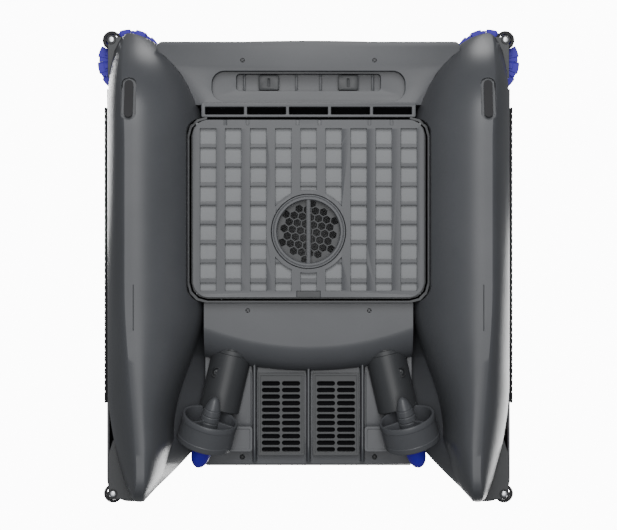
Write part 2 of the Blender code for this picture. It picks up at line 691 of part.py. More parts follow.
def make_brush(word, side):
    """A disc of twelve stepped petals on the shaft of its motor."""
    at = (side * BRUSH_X, BRUSH_Y)
    outline = []
    for i in range(PETALS):
        start = 360 / PETALS * i
        outline += arc(at, BRUSH_R, start, start + 20, 2)
        outline += arc(at, BRUSH_R - 1.4, start + 29, start + 29, 1)[:1]
    brush = prism(f"side_brush_{word}", outline, BRUSH_LOW, BRUSH_HIGH)
    socket = helper(cylinder(f"brush_socket_{word}", at, 2.4, BRUSH_LOW + 4, 140, 12))
    place(brush, "blue")
    pivot(brush, (*at, 0))
    cut(brush, socket)
    motor_profile = [(0, 138), (6.2, 138), (6.2, 128.2), (8.6, 128.2), (8.6, 126.8)]
    motor_profile += [(2.0, 126.8), (2.0, BRUSH_LOW + 4.6), (0, BRUSH_LOW + 4.6)]
    motor = turned(f"brush_motor_{word}", motor_profile, 20)
    motor.location = (at[0] * MM, at[1] * MM, 0)
    place(motor, "steel")


# ---------------------------------------------------------------- basket


def make_well():
    outline = rounded_box(-WELL_HALF, WELL_HALF, WELL_FRONT, WELL_REAR, WELL_CORNER, 3)
    well = place(prism("basket_well", outline, WELL_LOW, WELL_HIGH), "dark")
    bore = helper(well_block("well_bore", -WELL_WALL, 0, 300))
    window_low = (-MOUTH_HALF, -160, 40)
    window = helper(box("well_window", window_low, (MOUTH_HALF, WELL_FRONT + 6, MOUTH_HIGH)))
    swing_low = (-DOOR_HALF - 1.2, -150, 40)
    swing_high = (DOOR_HALF + 1.2, DOOR_FRONT + 4.5, DOOR_HIGH + 1)
    door_swing = helper(box("door_swing", swing_low, swing_high))
    cut(well, bore, window, door_swing)


def make_basket():
    outline = rounded_box(-TUB_HALF, TUB_HALF, TUB_FRONT, TUB_REAR, WELL_CORNER - 2, 3)
    tub = place(prism("basket_tub", outline, TUB_LOW, TUB_HIGH), "charcoal")
    inside = rounded_box(
        -TUB_HALF + TUB_WALL,
        TUB_HALF - TUB_WALL,
        TUB_FRONT + TUB_WALL,
        TUB_REAR - TUB_WALL,
        WELL_CORNER - 4,
        3,
    )
    bore = helper(prism("tub_bore", inside, 0, 300))
    window_low = (-96, TUB_FRONT - 5, MOUTH_LOW + 2)
    window = helper(box("tub_window", window_low, (96, TUB_FRONT + 5, MOUTH_HIGH - 2)))
    cut(tub, bore, window)

    hinge_y = TUB_FRONT + TUB_WALL + 2.2
    flap_low = (-97, TUB_FRONT + TUB_WALL + GAP, MOUTH_LOW - 1)
    flap = place(box("inlet_flap", flap_low, (97, hinge_y + 0.6, MOUTH_HIGH + 3)), "dark")
    pivot(flap, (0, hinge_y, MOUTH_HIGH + 3))

    outline = rounded_box(-DOOR_HALF, DOOR_HALF, DOOR_FRONT, DOOR_REAR, WELL_CORNER - 2.5, 4)
    door = place(prism("basket_door", outline, DOOR_LOW, DOOR_HIGH), "charcoal")
    first_x = -WINDOW_PITCH_X * (WINDOWS - 1) / 2
    corner = (first_x - WINDOW_X / 2, FIRST_ROW, 40)
    windows = box("door_windows", corner, (corner[0] + WINDOW_X, FIRST_ROW + WINDOW_Y, 70))
    helper(repeat(repeat(windows, 0, WINDOWS, WINDOW_PITCH_X), 1, WINDOWS - 1, WINDOW_PITCH_Y))
    seat = helper(cylinder("valve_seat", (0, VALVE_Y), VALVE_R + 3.2, DOOR_LOW, DOOR_HIGH, 32))
    hole = helper(cylinder("valve_hole", (0, VALVE_Y), VALVE_R + 0.7, 30, 80, 32))
    notch = helper(box("latch_notch", (-12, DOOR_REAR - 6.5, 40), (12, DOOR_REAR + 5, 70)))
    cut(door, windows)
    join(door, seat)
    cut(door, hole, notch)
    pivot(door, (0, DOOR_FRONT, DOOR_HIGH))

    latch_low = (-11.5, DOOR_REAR - 6, DOOR_LOW)
    place(box("door_latch", latch_low, (11.5, DOOR_REAR, DOOR_HIGH - 0.6)), "dark")

    outline = rounded_box(-DOOR_HALF + 3, DOOR_HALF - 3, DOOR_FRONT + 3, DOOR_REAR - 3, 13, 3)
    mesh_sheet = place(prism("filter_mesh", outline, DOOR_HIGH + GAP, DOOR_HIGH + 1.3), "mesh")
    cut(mesh_sheet, hole)

    ring_profile = [(VALVE_BORE, DOOR_HIGH + 5), (VALVE_R, DOOR_HIGH + 5), (VALVE_R, DOOR_LOW - 0.8)]
    ring_profile.append((VALVE_BORE, DOOR_LOW - 0.8))
    ring = turned("drain_ring", ring_profile, 32)
    ring.location = (0, VALVE_Y * MM, 0)
    place(ring, "charcoal")
    bar_low = (-0.8, VALVE_Y - VALVE_BORE - 1, DOOR_LOW - 0.4)
    bar = helper(box("ring_bar", bar_low, (0.8, VALVE_Y + VALVE_BORE + 1, DOOR_HIGH + 1)))
    join(ring, bar)
    plate_low = DOOR_HIGH + 5 + GAP
    comb = place(cylinder("drain_grille", (0, VALVE_Y), VALVE_R, plate_low, plate_low + 1.8, 32), "dark")
    cut(comb, hexagons("honeycomb", (0, VALVE_Y), 26.5, plate_low - 3, plate_low + 5))


def hexagons(name, centre, reach, low, high):
    """A honeycomb of hexagonal cutters inside a circle."""
    pitch, radius, tilt = 10.4, 5.0, math.radians(7.7)
    builder = bmesh.new()
    for row in range(-4, 5):
        for column in range(-4, 5):
            x = column * pitch * math.cos(math.radians(30))
            y = (row + (column % 2) / 2) * pitch
            if math.hypot(x, y) > reach:
                continue
            turned_x = x * math.cos(tilt) - y * math.sin(tilt)
            turned_y = x * math.sin(tilt) + y * math.cos(tilt)
            at = Vector((centre[0] + turned_x, centre[1] + turned_y, (low + high) / 2)) * MM
            matrix = Matrix.Translation(at) @ Matrix.Rotation(tilt + math.radians(30), 4, "Z")
            bmesh.ops.create_cone(
                builder,
                cap_ends=True,
                segments=6,
                radius1=radius * MM,
                radius2=radius * MM,
                depth=(high - low) * MM,
                matrix=matrix,
            )
    return helper(object_from(name, builder))


def make_lid():
    """The lid over the basket, with the carrying handle folded into a groove round it."""
    lid_half, front, rear = 118.6, WELL_FRONT + 0.4, WELL_REAR - 0.4
    levels = [(0, DECK - 2.4), (0, DECK + 3), (1.6, DECK + 5.6), (6, DECK + 8), (22, DECK + 10.4)]
    rings = []
    for inset, height in levels:
        outline = rounded_box(
            -lid_half + inset, lid_half - inset, front + inset, rear - inset, 20 + inset / 3, 4
        )
        rings.append([(x, y, height) for x, y in outline])
    lid = place(loft("basket_lid", rings), "charcoal")
    under = rounded_box(-lid_half + 2.6, lid_half - 2.6, front + 2.6, rear - 2.6, 18, 3)
    cavity = helper(prism("lid_cavity", under, DECK - 8, DECK + 5))
    cut(lid, cavity)
    pivot(lid, (0, rear, DECK + 3.4))
    grip = helper(box("handle_groove", (-82, -129, DECK + 7.2), (82, -30, DECK + 20)))
    rest = helper(box("handle_rest", (-70, -118, DECK + 2), (70, -20, DECK + 21)))
    cut(grip, rest)
    cut(lid, grip)
    axis_y, axis_z, knuckle_r = -40.5, DECK + 11, 3.4
    low = (-HANDLE_HALF, -128.4, axis_z - knuckle_r)
    handle = box("carry_handle", low, (HANDLE_HALF, axis_y, axis_z + knuckle_r))
    place(handle, "dark")
    knuckles = cylinder("handle_knuckles", (0, 0), knuckle_r, -HANDLE_HALF, HANDLE_HALF, 20)
    helper(knuckles)
    knuckles.location = (0, axis_y * MM, axis_z * MM)
    knuckles.rotation_euler.y = math.radians(90)
    opening = helper(box("handle_opening", (-70.6, -118.6, DECK), (70.6, -20, DECK + 30)))
    join(handle, knuckles)
    cut(handle, opening)
    pivot(handle, (0, axis_y, axis_z))


# ---------------------------------------------------------------- electronics and screws


def make_electronics():
    battery_low = (-62, 62, 112)
    place(box("battery_pack", battery_low, (62, 150, 146)), "dark")
    place(box("control_module", (-52, 66, 152), (52, 140, 168)), "black")
    button = [(0, DECK + 2.4), (7.6, DECK + 2.4), (8.8, DECK + 1.4), (8.8, DECK - 6), (0, DECK - 6)]
    power = turned("power_button", button, 24)
    power.location = (60 * MM, -178 * MM, 0)
    place(power, "blue")
    lens = turned("status_light", [(0, DECK + 0.8), (4, DECK + 0.4), (4, DECK - 5), (0, DECK - 5)], 16)
    lens.location = (-60 * MM, -178 * MM, 0)
    place(lens, "lens")
    low = (-TAIL_HALF + 22.5, TAIL_REAR - 2.4, 120.5)
    cap = place(box("charge_port_cover", low, (-TAIL_HALF + 45.5, TAIL_REAR + 0.6, 133.5)), "dark")
    pivot(cap, (-TAIL_HALF + 34, TAIL_REAR + 0.6, 120.5))


SCREWS = {
    "front_left": (-65.4, -203.0, FRONT_BOX_LOW),
    "front_right": (65.4, -203.0, FRONT_BOX_LOW),
    "bridge_left": (-60.1, 45.0, BRIDGE_LOW),
    "bridge_right": (60.1, 45.0, BRIDGE_LOW),
    "tail_left": (-66.5, 193.0, TAIL_LOW),
    "tail_right": (66.5, 193.0, TAIL_LOW),
}


def make_screws():
    """Pan-head screws in black-ringed holes in the underside."""
    for word, (x, y, face) in SCREWS.items():
        hole = helper(cylinder(f"screw_hole_{word}", (x, y), 3.4, face - 5, face + 1.8, 12))
        shank = helper(cylinder(f"screw_bore_{word}", (x, y), 1.7, face - 5, face + 12, 8))
        target = "front_box" if word.startswith("front") else "tail_fairing"
        cut(bpy.data.objects[target], hole, shank)
        profile = [(0, face + 8), (1.3, face + 8), (1.3, face + 1.4), (2.5, face + 1.4)]
        profile += [(2.5, face - 0.2), (0, face - 0.6)]
        screw = turned(f"screw_{word}", profile, 8)
        screw.location = (x * MM, y * MM, 0)
        place(screw, "steel")


wells = {}


def main():
    clear_scene()
    wells["hull"] = helper(well_block("well_gap", GAP, 0, 300))
    wells["hull_wall"] = helper(well_block("well_wall", GAP + HULL_WALL, -20, 320))
    wells["deck"] = helper(well_block("deck_opening", 0.6, 150, 300))
    grown = {}
    for word, side in SIDES.items():
        grown[word] = helper(hull_solid(f"hull_clearance_{word}", side, GAP, HULL_RIM + 8))
    tail_gap = helper(tail_solid("tail_clearance", 104.5, GAP, TAIL_TOP + 20))
    for word, side in SIDES.items():
        make_hull(word, side, grown[word])
        make_brush(word, side)
        make_thruster(word, side, tail_gap)
    make_cover()
    make_front_box(list(grown.values()))
    make_tail()
    make_well()
    make_basket()
    make_lid()
    make_electronics()
    make_screws()


main()
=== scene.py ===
"""The looks of the pool skimmer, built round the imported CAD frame. Metres, +Z up, front to -Y."""

import math

import bmesh
import bpy
from mathutils import Matrix, Vector


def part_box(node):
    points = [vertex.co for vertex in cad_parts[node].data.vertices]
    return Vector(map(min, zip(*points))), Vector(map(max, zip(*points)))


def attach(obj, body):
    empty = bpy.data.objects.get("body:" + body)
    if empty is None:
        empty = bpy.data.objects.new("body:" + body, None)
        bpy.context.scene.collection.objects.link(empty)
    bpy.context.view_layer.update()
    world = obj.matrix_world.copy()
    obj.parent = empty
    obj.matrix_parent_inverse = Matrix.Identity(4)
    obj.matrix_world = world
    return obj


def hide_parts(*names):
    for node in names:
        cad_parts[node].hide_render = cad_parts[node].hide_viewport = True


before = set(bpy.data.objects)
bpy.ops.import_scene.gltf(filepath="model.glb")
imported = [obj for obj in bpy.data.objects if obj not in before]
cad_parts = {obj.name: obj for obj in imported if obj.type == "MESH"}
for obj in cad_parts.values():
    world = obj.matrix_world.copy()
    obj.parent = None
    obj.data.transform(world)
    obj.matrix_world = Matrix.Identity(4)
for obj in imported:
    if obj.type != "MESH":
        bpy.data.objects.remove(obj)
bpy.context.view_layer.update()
SIDES = {"left": -1, "right": 1}
MM = 0.001

# ---------------------------------------------------------- places read from the frame, in mm


def span(node):
    """A CAD node's lowest and highest corners in millimetres."""
    low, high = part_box(node)
    return [c / MM for c in low], [c / MM for c in high]


def middle(node):
    low, high = span(node)
    return [(a + b) / 2 for a, b in zip(low, high)]


HULL_LOW, HULL_HIGH = span("pontoon_shell_right")
HULL_RIM = HULL_HIGH[2]
HULL_OUT, HULL_IN = HULL_HIGH[0], HULL_LOW[0]
COVER_LOW, COVER_HIGH = span("top_cover")
DECK = COVER_HIGH[2]
DOOR_LOW, DOOR_HIGH = span("basket_door")
WELL_LOW, WELL_HIGH = span("basket_well")
BOX_LOW, BOX_HIGH = span("front_box")
VALVE_Y = middle("drain_ring")[1]
GAP = 0.35  # clearance between pieces that touch
WELL_CORNER = 18.0


# ---------------------------------------------------------- mesh helpers


def link(obj):
    bpy.context.scene.collection.objects.link(obj)
    return obj


def object_from(name, builder):
    bmesh.ops.recalc_face_normals(builder, faces=builder.faces)
    mesh = bpy.data.meshes.new(name)
    builder.to_mesh(mesh)
    builder.free()
    return link(bpy.data.objects.new(name, mesh))


def box(name, low, high):
    size = Vector(high) - Vector(low)
    centre = (Vector(high) + Vector(low)) / 2
    builder = bmesh.new()
    bmesh.ops.create_cube(builder, size=1)
    bmesh.ops.scale(builder, vec=size * MM, verts=builder.verts)
    bmesh.ops.translate(builder, vec=centre * MM, verts=builder.verts)
    return object_from(name, builder)


def prism(name, outline, low, high):
    """An outline of (x, y) points extruded upwards, as one n-gon at each end."""
    builder = bmesh.new()
    base = builder.faces.new([builder.verts.new((x * MM, y * MM, low * MM)) for x, y in outline])
    raised = bmesh.ops.extrude_face_region(builder, geom=[base])["geom"]
    tops = [v for v in raised if isinstance(v, bmesh.types.BMVert)]
    bmesh.ops.translate(builder, vec=(0, 0, (high - low) * MM), verts=tops)
    return object_from(name, builder)


def cylinder(name, centre, radius, low, high, sides=48):
    return prism(name, arc(centre, radius, 0, 360, sides)[:-1], low, high)


def turned(name, profile, sides=64, matrix=None):
    """A solid turned about Z from (radius, height) points, closed at both ends of the profile."""
    builder = bmesh.new()
    points = [builder.verts.new((radius * MM, 0, height * MM)) for radius, height in profile]
    edges = [builder.edges.new(pair) for pair in zip(points, points[1:])]
    if profile[0][0] > 0:
        edges.append(builder.edges.new((points[-1], points[0])))
    bmesh.ops.spin(
        builder, geom=points + edges, axis=(0, 0, 1), cent=(0, 0, 0), angle=math.tau, steps=sides
    )
    bmesh.ops.remove_doubles(builder, verts=builder.verts, dist=1e-6)
    obj = object_from(name, builder)
    if matrix:
        obj.data.transform(matrix)
    return obj


def stand(obj, at):
    """Moves a shape that was drawn round the origin to its place in the plan."""
    obj.data.transform(Matrix.Translation((at[0] * MM, at[1] * MM, 0)))


def loft(name, sections):
    builder = bmesh.new()
    rings = [[builder.verts.new(Vector(point) * MM) for point in ring] for ring in sections]
    count = len(rings[0])
    for first, second in zip(rings, rings[1:]):
        for i in range(count):
            after = (i + 1) % count
            builder.faces.new((first[i], first[after], second[after], second[i]))
    builder.faces.new(rings[0])
    builder.faces.new(rings[-1])
    return object_from(name, builder)


def arc(centre, radius, start, end, steps):
    angles = [math.radians(start + (end - start) * i / steps) for i in range(steps + 1)]
    return [(centre[0] + radius * math.cos(a), centre[1] + radius * math.sin(a)) for a in angles]


def rounded(x_low, x_high, y_low, y_high, radius, steps=8):
    return (
        arc((x_high - radius, y_high - radius), radius, 0, 90, steps)
        + arc((x_low + radius, y_high - radius), radius, 90, 180, steps)
        + arc((x_low + radius, y_low + radius), radius, 180, 270, steps)
        + arc((x_high - radius, y_low + radius), radius, 270, 360, steps)
    )


def repeated(obj, columns, step_x, rows=1, step_y=0.0):
    """Copies the object's mesh in a grid, inside the same object."""
    builder = bmesh.new()
    for column in range(columns):
        for row in range(rows):
            mesh = obj.data.copy()
            mesh.transform(Matrix.Translation((column * step_x * MM, row * step_y * MM, 0)))
            builder.from_mesh(mesh)
            bpy.data.meshes.remove(mesh)
    name = obj.name
    bpy.data.objects.remove(obj)
    return object_from(name, builder)


def boolean(obj, others, operation):
    """Cuts or joins for good, and removes the shapes that it used."""
    for other in others:
        modifier = obj.modifiers.new("boolean", "BOOLEAN")
        modifier.operation = operation
        modifier.object = other
    freeze(obj)
    for other in others:
        bpy.data.objects.remove(other)
    return obj


def cut(obj, *others):
    return boolean(obj, others, "DIFFERENCE")


def join(obj, *others):
    return boolean(obj, others, "UNION")


def freeze(obj):
    """Applies every modifier."""
    bpy.context.view_layer.update()
    graph = bpy.context.evaluated_depsgraph_get()
    mesh = bpy.data.meshes.new_from_object(obj.evaluated_get(graph))
    obj.modifiers.clear()
    obj.data = mesh
    return obj


def bevelled(obj, width, segments=2, angle=35):
    modifier = obj.modifiers.new("bevel", "BEVEL")
    modifier.width = width * MM
    modifier.segments = segments
    modifier.limit_method = "ANGLE"
    modifier.angle_limit = math.radians(angle)
    modifier.use_clamp_overlap = True
    modifier.harden_normals = False
    return freeze(obj)


def finish(obj, finish_material, body, slot, *replaced, angle=32):
    """Shades the piece, gives it its material and hangs it on its body."""
    obj.data.materials.clear()
    obj.data.materials.append(finish_material)
    obj.data.shade_smooth()
    obj.data.set_sharp_from_angle(angle=math.radians(angle))
    if replaced:
        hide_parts(*replaced)
    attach(obj, body)
    return obj


def smoothstep(t):
    t = min(max(t, 0.0), 1.0)
    return t * t * (3 - 2 * t)


def bow_curve(t, power):
    return max(1 - min(max(t, 0.0), 1.0) ** power, 0.0) ** (1 / power)


# ---------------------------------------------------------- materials


class Nodes:
    """A short way to wire a node material."""

    def __init__(self, name):
        self.material = bpy.data.materials.new(name)
        self.material.use_nodes = True
        self.tree = self.material.node_tree
        self.shader = self.tree.nodes["Principled BSDF"]
        coordinates = self.add("ShaderNodeTexCoord")
        self.place = coordinates.outputs["Object"]

    def add(self, kind, **settings):
        node = self.tree.nodes.new(kind)
        for key, value in settings.items():
            if key.startswith("in_"):
                node.inputs[key[3:].replace("_", " ")].default_value = value
            else:
                setattr(node, key, value)
        return node

    def wire(self, output, target):
        self.tree.links.new(output, target)

    def noise(self, scale, detail=3.0, rough=0.5):
        node = self.add("ShaderNodeTexNoise", in_Scale=scale, in_Detail=detail, in_Roughness=rough)
        self.wire(self.place, node.inputs["Vector"])
        return node.outputs["Fac"]

    def ramp(self, value, *stops):
        node = self.add("ShaderNodeValToRGB")
        band = node.color_ramp
        for i, (position, colour) in enumerate(stops):
            element = band.elements[i] if i < 2 else band.elements.new(position)
            element.position = position
            element.color = (*colour, 1)
        self.wire(value, node.inputs["Fac"])
        return node.outputs["Color"]

    def span(self, value, low, high):
        node = self.add("ShaderNodeMapRange")
        node.inputs["To Min"].default_value = low
        node.inputs["To Max"].default_value = high
        self.wire(value, node.inputs["Value"])
        return node.outputs["Result"]

    def mix(self, factor, first, second, kind="MIX"):
        node = self.add("ShaderNodeMix", data_type="RGBA", blend_type=kind)
        if hasattr(factor, "links"):
            self.wire(factor, node.inputs["Factor"])
        else:
            node.inputs["Factor"].default_value = factor
        for socket, value in ((node.inputs[6], first), (node.inputs[7], second)):
            if hasattr(value, "links"):
                self.wire(value, socket)
            else:
                socket.default_value = (*value, 1)
        return node.outputs[2]

    def math(self, operation, first, second):
        node = self.add("ShaderNodeMath", operation=operation)
        for socket, value in zip(node.inputs, (first, second)):
            if hasattr(value, "links"):
                self.wire(value, socket)
            else:
                socket.default_value = value
        return node.outputs[0]

    def edges(self, radius):
        """(softened normal, how near an edge is: 0 on a flat, towards 1 on an edge)."""
        soft = self.add("ShaderNodeBevel", samples=6, in_Radius=radius * MM)
        geometry = self.add("ShaderNodeNewGeometry")
        dot = self.add("ShaderNodeVectorMath", operation="DOT_PRODUCT")
        self.wire(soft.outputs[0], dot.inputs[0])
        self.wire(geometry.outputs["Normal"], dot.inputs[1])
        near = self.add("ShaderNodeMapRange")
        near.inputs["From Min"].default_value = 0.995
        near.inputs["From Max"].default_value = 0.8
        self.wire(dot.outputs["Value"], near.inputs["Value"])
        return soft.outputs[0], near.outputs["Result"]

    def bump(self, height, strength, distance, normal=None):
        node = self.add("ShaderNodeBump", in_Strength=strength)
        node.inputs["Distance"].default_value = distance * MM
        self.wire(height, node.inputs["Height"])
        if normal:
            self.wire(normal, node.inputs["Normal"])
        self.wire(node.outputs[0], self.shader.inputs["Normal"])

    def set(self, **values):
        for key, value in values.items():
            self.shader.inputs[key.replace("_", " ")].default_value = value


def plastic(
    name, dark, light, roughness, edge=0.5, grain=900, spread=0.05, depth=0.05, specular=0.35
):
    """Moulded plastic: fine spark-eroded grain, faint flow clouds, edges rubbed a little lighter."""
    nodes = Nodes(name)
    cloud = nodes.noise(9, 4, 0.6)
    colour = nodes.ramp(cloud, (0.3, dark), (0.7, light))
    speck = nodes.noise(grain * 0.6, 2, 0.7)
    shade = nodes.mix(nodes.span(speck, 0.0, 0.22), colour, tuple(c * 0.72 for c in dark))
    soft, near = nodes.edges(0.6)
    worn = tuple(min(c * 1.5 + 0.02, 1) for c in light)
    rub = nodes.math("MULTIPLY", near, nodes.span(nodes.noise(60, 3), 0.1, edge))
    nodes.wire(nodes.mix(rub, shade, worn), nodes.shader.inputs["Base Color"])
    gloss = nodes.math("ADD", nodes.span(nodes.noise(14, 3), -spread, spread), roughness)
    nodes.wire(gloss, nodes.shader.inputs["Roughness"])
    nodes.bump(nodes.noise(grain, 2, 0.6), 0.3, depth, soft)
    nodes.set(Specular_IOR_Level=specular)
    return nodes.material


def mesh_cloth(name):
    """Fine woven filter mesh: two crossed thread waves over light grey."""
    nodes = Nodes(name)
    waves = []
    for axis in ("X", "Y"):
        wave = nodes.add("ShaderNodeTexWave", bands_direction=axis, in_Scale=420.0)
        nodes.wire(nodes.place, wave.inputs["Vector"])
        waves.append(wave.outputs["Fac"])
    weave = nodes.math("MAXIMUM", *waves)
    threads = nodes.ramp(weave, (0.25, (0.115, 0.119, 0.124)), (0.75, (0.27, 0.277, 0.286)))
    stain = nodes.mix(nodes.span(nodes.noise(22, 4), 0.0, 0.35), threads, (0.155, 0.159, 0.165))
    nodes.wire(stain, nodes.shader.inputs["Base Color"])
    nodes.bump(weave, 0.5, 0.12)
    nodes.set(Roughness=0.75)
    return nodes.material


def brushed_metal(name, colour):
    nodes = Nodes(name)
    stretch = nodes.add("ShaderNodeMapping")
    stretch.inputs["Scale"].default_value = (1, 1, 40)
    nodes.wire(nodes.place, stretch.inputs["Vector"])
    brush = nodes.add("ShaderNodeTexNoise", in_Scale=180.0, in_Detail=4.0)
    nodes.wire(stretch.outputs[0], brush.inputs["Vector"])
    dull = tuple(c * 0.7 for c in colour)
    streaks = nodes.ramp(brush.outputs["Fac"], (0.3, dull), (0.7, colour))
    nodes.wire(streaks, nodes.shader.inputs["Base Color"])
    nodes.wire(nodes.span(brush.outputs["Fac"], 0.22, 0.42), nodes.shader.inputs["Roughness"])
    nodes.bump(brush.outputs["Fac"], 0.15, 0.02)
    nodes.set(Metallic=1.0)
    return nodes.material


def solar_cells(name):
    """Dark blue cells between thin silver fingers, under clear resin."""
    nodes = Nodes(name)
    cells = nodes.add("ShaderNodeTexBrick", offset=0.0, squash=1.0)
    cells.inputs["Scale"].default_value = 1.0
    cells.inputs["Mortar Size"].default_value = 0.0007
    cells.inputs["Brick Width"].default_value = 0.0392
    cells.inputs["Row Height"].default_value = 0.0308
    cells.inputs["Color1"].default_value = (0.006, 0.010, 0.034, 1)
    cells.inputs["Color2"].default_value = (0.009, 0.014, 0.046, 1)
    cells.inputs["Mortar"].default_value = (0.16, 0.17, 0.19, 1)
    nodes.wire(nodes.place, cells.inputs["Vector"])
    fingers = nodes.add("ShaderNodeTexWave", bands_direction="X", in_Scale=160.0)
    nodes.wire(nodes.place, fingers.inputs["Vector"])
    lines = nodes.ramp(fingers.outputs["Fac"], (0.9, (0, 0, 0)), (0.98, (0.05, 0.055, 0.065)))
    both = nodes.mix(1.0, cells.outputs["Color"], lines, "ADD")
    crystal = nodes.mix(nodes.span(nodes.noise(45, 5, 0.7), 0.0, 0.25), both, (0.01, 0.02, 0.07))
    nodes.wire(crystal, nodes.shader.inputs["Base Color"])
    nodes.wire(nodes.span(nodes.noise(30, 3), 0.12, 0.26), nodes.shader.inputs["Roughness"])
    nodes.set(Coat_Weight=0.6, Coat_Roughness=0.06)
    return nodes.material


CHARCOAL = plastic("charcoal_abs", (0.064, 0.067, 0.073), (0.078, 0.081, 0.088), 0.38)
# SHADE is the charcoal made darker: painted shade for pieces that sit in recesses, under the deck
# and inside the basket well.
SHADE = plastic("charcoal_painted_shade", (0.034, 0.036, 0.039), (0.043, 0.045, 0.048), 0.42)
BLACK = plastic("black_nylon", (0.013, 0.0135, 0.015), (0.019, 0.020, 0.022), 0.45, edge=0.35)
# VOID is near black: sheets of it sit in the front slots and behind the tail grilles as painted
# shade for the dark inside.
PAINTED_VOID_DARK, PAINTED_VOID_LIGHT = (0.004, 0.004, 0.0045), (0.007, 0.007, 0.008)
VOID = plastic("painted_shade_black", PAINTED_VOID_DARK, PAINTED_VOID_LIGHT, 0.9, specular=0.05)
RUBBER_DARK, RUBBER_LIGHT = (0.016, 0.016, 0.018), (0.024, 0.024, 0.026)
RUBBER = plastic("bumper_rubber", RUBBER_DARK, RUBBER_LIGHT, 0.68, edge=0.25, grain=500)
BLUE_DARK, BLUE_LIGHT = (0.030, 0.008, 0.36), (0.040, 0.012, 0.46)
BLUE = plastic(
    "blue_nylon", BLUE_DARK, BLUE_LIGHT, 0.42, edge=0.3, depth=0.03, specular=0.25
)
MESH = mesh_cloth("filter_mesh_cloth")
STEEL = brushed_metal("stainless_steel", (0.60, 0.61, 0.63))
SOLAR = solar_cells("solar_cells")
LENS = plastic("frosted_lens", (0.42, 0.58, 0.80), (0.50, 0.66, 0.88), 0.25, edge=0.1)


# ---------------------------------------------------------- stage


CAMERA_DISTANCE = 1.8
SEEN_WIDTH = 0.5905  # the width that the picture covers at the height of the keels, in metres


def area_light(name, place, size, power, aim=(0, 0, 0.08), colour=(1, 1, 1)):
    data = bpy.data.lights.new(name, "AREA")
    data.shape = "DISK"
    data.size = size
    data.energy = power
    data.color = colour
    lamp = link(bpy.data.objects.new(name, data))
    lamp.location = place
    direction = Vector(aim) - Vector(place)
    lamp.rotation_euler = direction.to_track_quat("-Z", "Y").to_euler()
    return lamp


def make_floor():
    """A pale floor that only shows from above, so the camera can look at the underside."""
    builder = bmesh.new()
    bmesh.ops.create_grid(builder, x_segments=2, y_segments=2, size=6)
    floor = object_from("studio_floor", builder)
    floor.location.z = -0.0006
    if floor.data.polygons[0].normal.z < 0:
        floor.data.flip_normals()
    nodes = Nodes("pale_floor")
    tree = nodes.tree
    colour = nodes.ramp(nodes.noise(2.5, 3), (0.3, (0.80, 0.80, 0.81)), (0.7, (0.84, 0.84, 0.85)))
    nodes.wire(colour, nodes.shader.inputs["Base Color"])
    nodes.set(Roughness=0.85)
    clear = nodes.add("ShaderNodeBsdfTransparent")
    path = nodes.add("ShaderNodeLightPath")
    side = nodes.add("ShaderNodeNewGeometry")
    front = nodes.math("SUBTRACT", 1.0, side.outputs["Backfacing"])
    shown = nodes.math("MULTIPLY", path.outputs["Is Camera Ray"], front)
    choice = nodes.add("ShaderNodeMixShader")
    nodes.wire(shown, choice.inputs[0])
    nodes.wire(clear.outputs[0], choice.inputs[1])
    nodes.wire(nodes.shader.outputs[0], choice.inputs[2])
    output = tree.nodes["Material Output"]
    nodes.wire(choice.outputs[0], output.inputs["Surface"])
    floor.data.materials.append(nodes.material)


def make_stage():
    make_floor()
    world = bpy.data.worlds.new("studio")
    bpy.context.scene.world = world
    world.use_nodes = True
    tree = world.node_tree
    seen = tree.nodes["Background"]
    seen.inputs["Color"].default_value = (1, 1, 1, 1)
    seen.inputs["Strength"].default_value = 12.0
    fill = tree.nodes.new("ShaderNodeBackground")
    fill.inputs["Color"].default_value = (0.93, 0.96, 1, 1)
    fill.inputs["Strength"].default_value = 0.22
    path = tree.nodes.new("ShaderNodeLightPath")
    choice = tree.nodes.new("ShaderNodeMixShader")
    tree.links.new(path.outputs["Is Camera Ray"], choice.inputs[0])
    tree.links.new(fill.outputs[0], choice.inputs[1])
    tree.links.new(seen.outputs[0], choice.inputs[2])
    tree.links.new(choice.outputs[0], tree.nodes["World Output"].inputs["Surface"])
    area_light("under_key", (0.0, -0.95, -1.6), 1.1, 24)
    area_light("under_soft", (0.0, 0.05, -2.2), 1.5, 25)
    area_light("over_key", (-0.55, -0.5, 2.1), 1.0, 36)
    area_light("over_fill", (0.7, 0.5, 2.0), 1.2, 22)
    area_light("front_fill", (0.2, -2.0, 1.3), 0.8, 10)
    camera_data = bpy.data.cameras.new("camera")
    camera_data.sensor_width = 36
    camera_data.lens = camera_data.sensor_width / SEEN_WIDTH * CAMERA_DISTANCE
    camera = link(bpy.data.objects.new("camera", camera_data))
    camera.location = (0, 0, -CAMERA_DISTANCE)
    camera.rotation_euler = (math.pi, 0, 0)
    bpy.context.scene.camera = camera


make_stage()


# ---------------------------------------------------------- pontoons

BOW_TIP, STERN_TIP = (181.0, -234.0), (169.0, 238.0)
KEEL_X, KEEL_LAND = 172.7, 3.5
HULL_WALL = 2.6
PAD_AT, PAD_TILT = (172.9, -160, 6.8), math.radians(16)  # the lozenge under each forefoot
ROLLERS = {"front": (198.1, -226.4), "rear": (196.7, 230.0)}


def hull_edges(y):
    """The hull's outer and inner half-widths at its rim."""
    outer, inner = HULL_OUT, HULL_IN
    if y < -149:
        outer = BOW_TIP[0] + (HULL_OUT - BOW_TIP[0]) * bow_curve((-149 - y) / 85, 2.2)
    if y > 120:
        outer = STERN_TIP[0] + (HULL_OUT - STERN_TIP[0]) * bow_curve((y - 120) / 118, 1.65)
    if y < -130:
        inner = BOW_TIP[0] - (BOW_TIP[0] - HULL_IN) * bow_curve((-130 - y) / 104, 1.7)
    if y > 172:
        inner = STERN_TIP[0] - (STERN_TIP[0] - HULL_IN) * bow_curve((y - 172) / 66, 1.08)
    return outer, inner


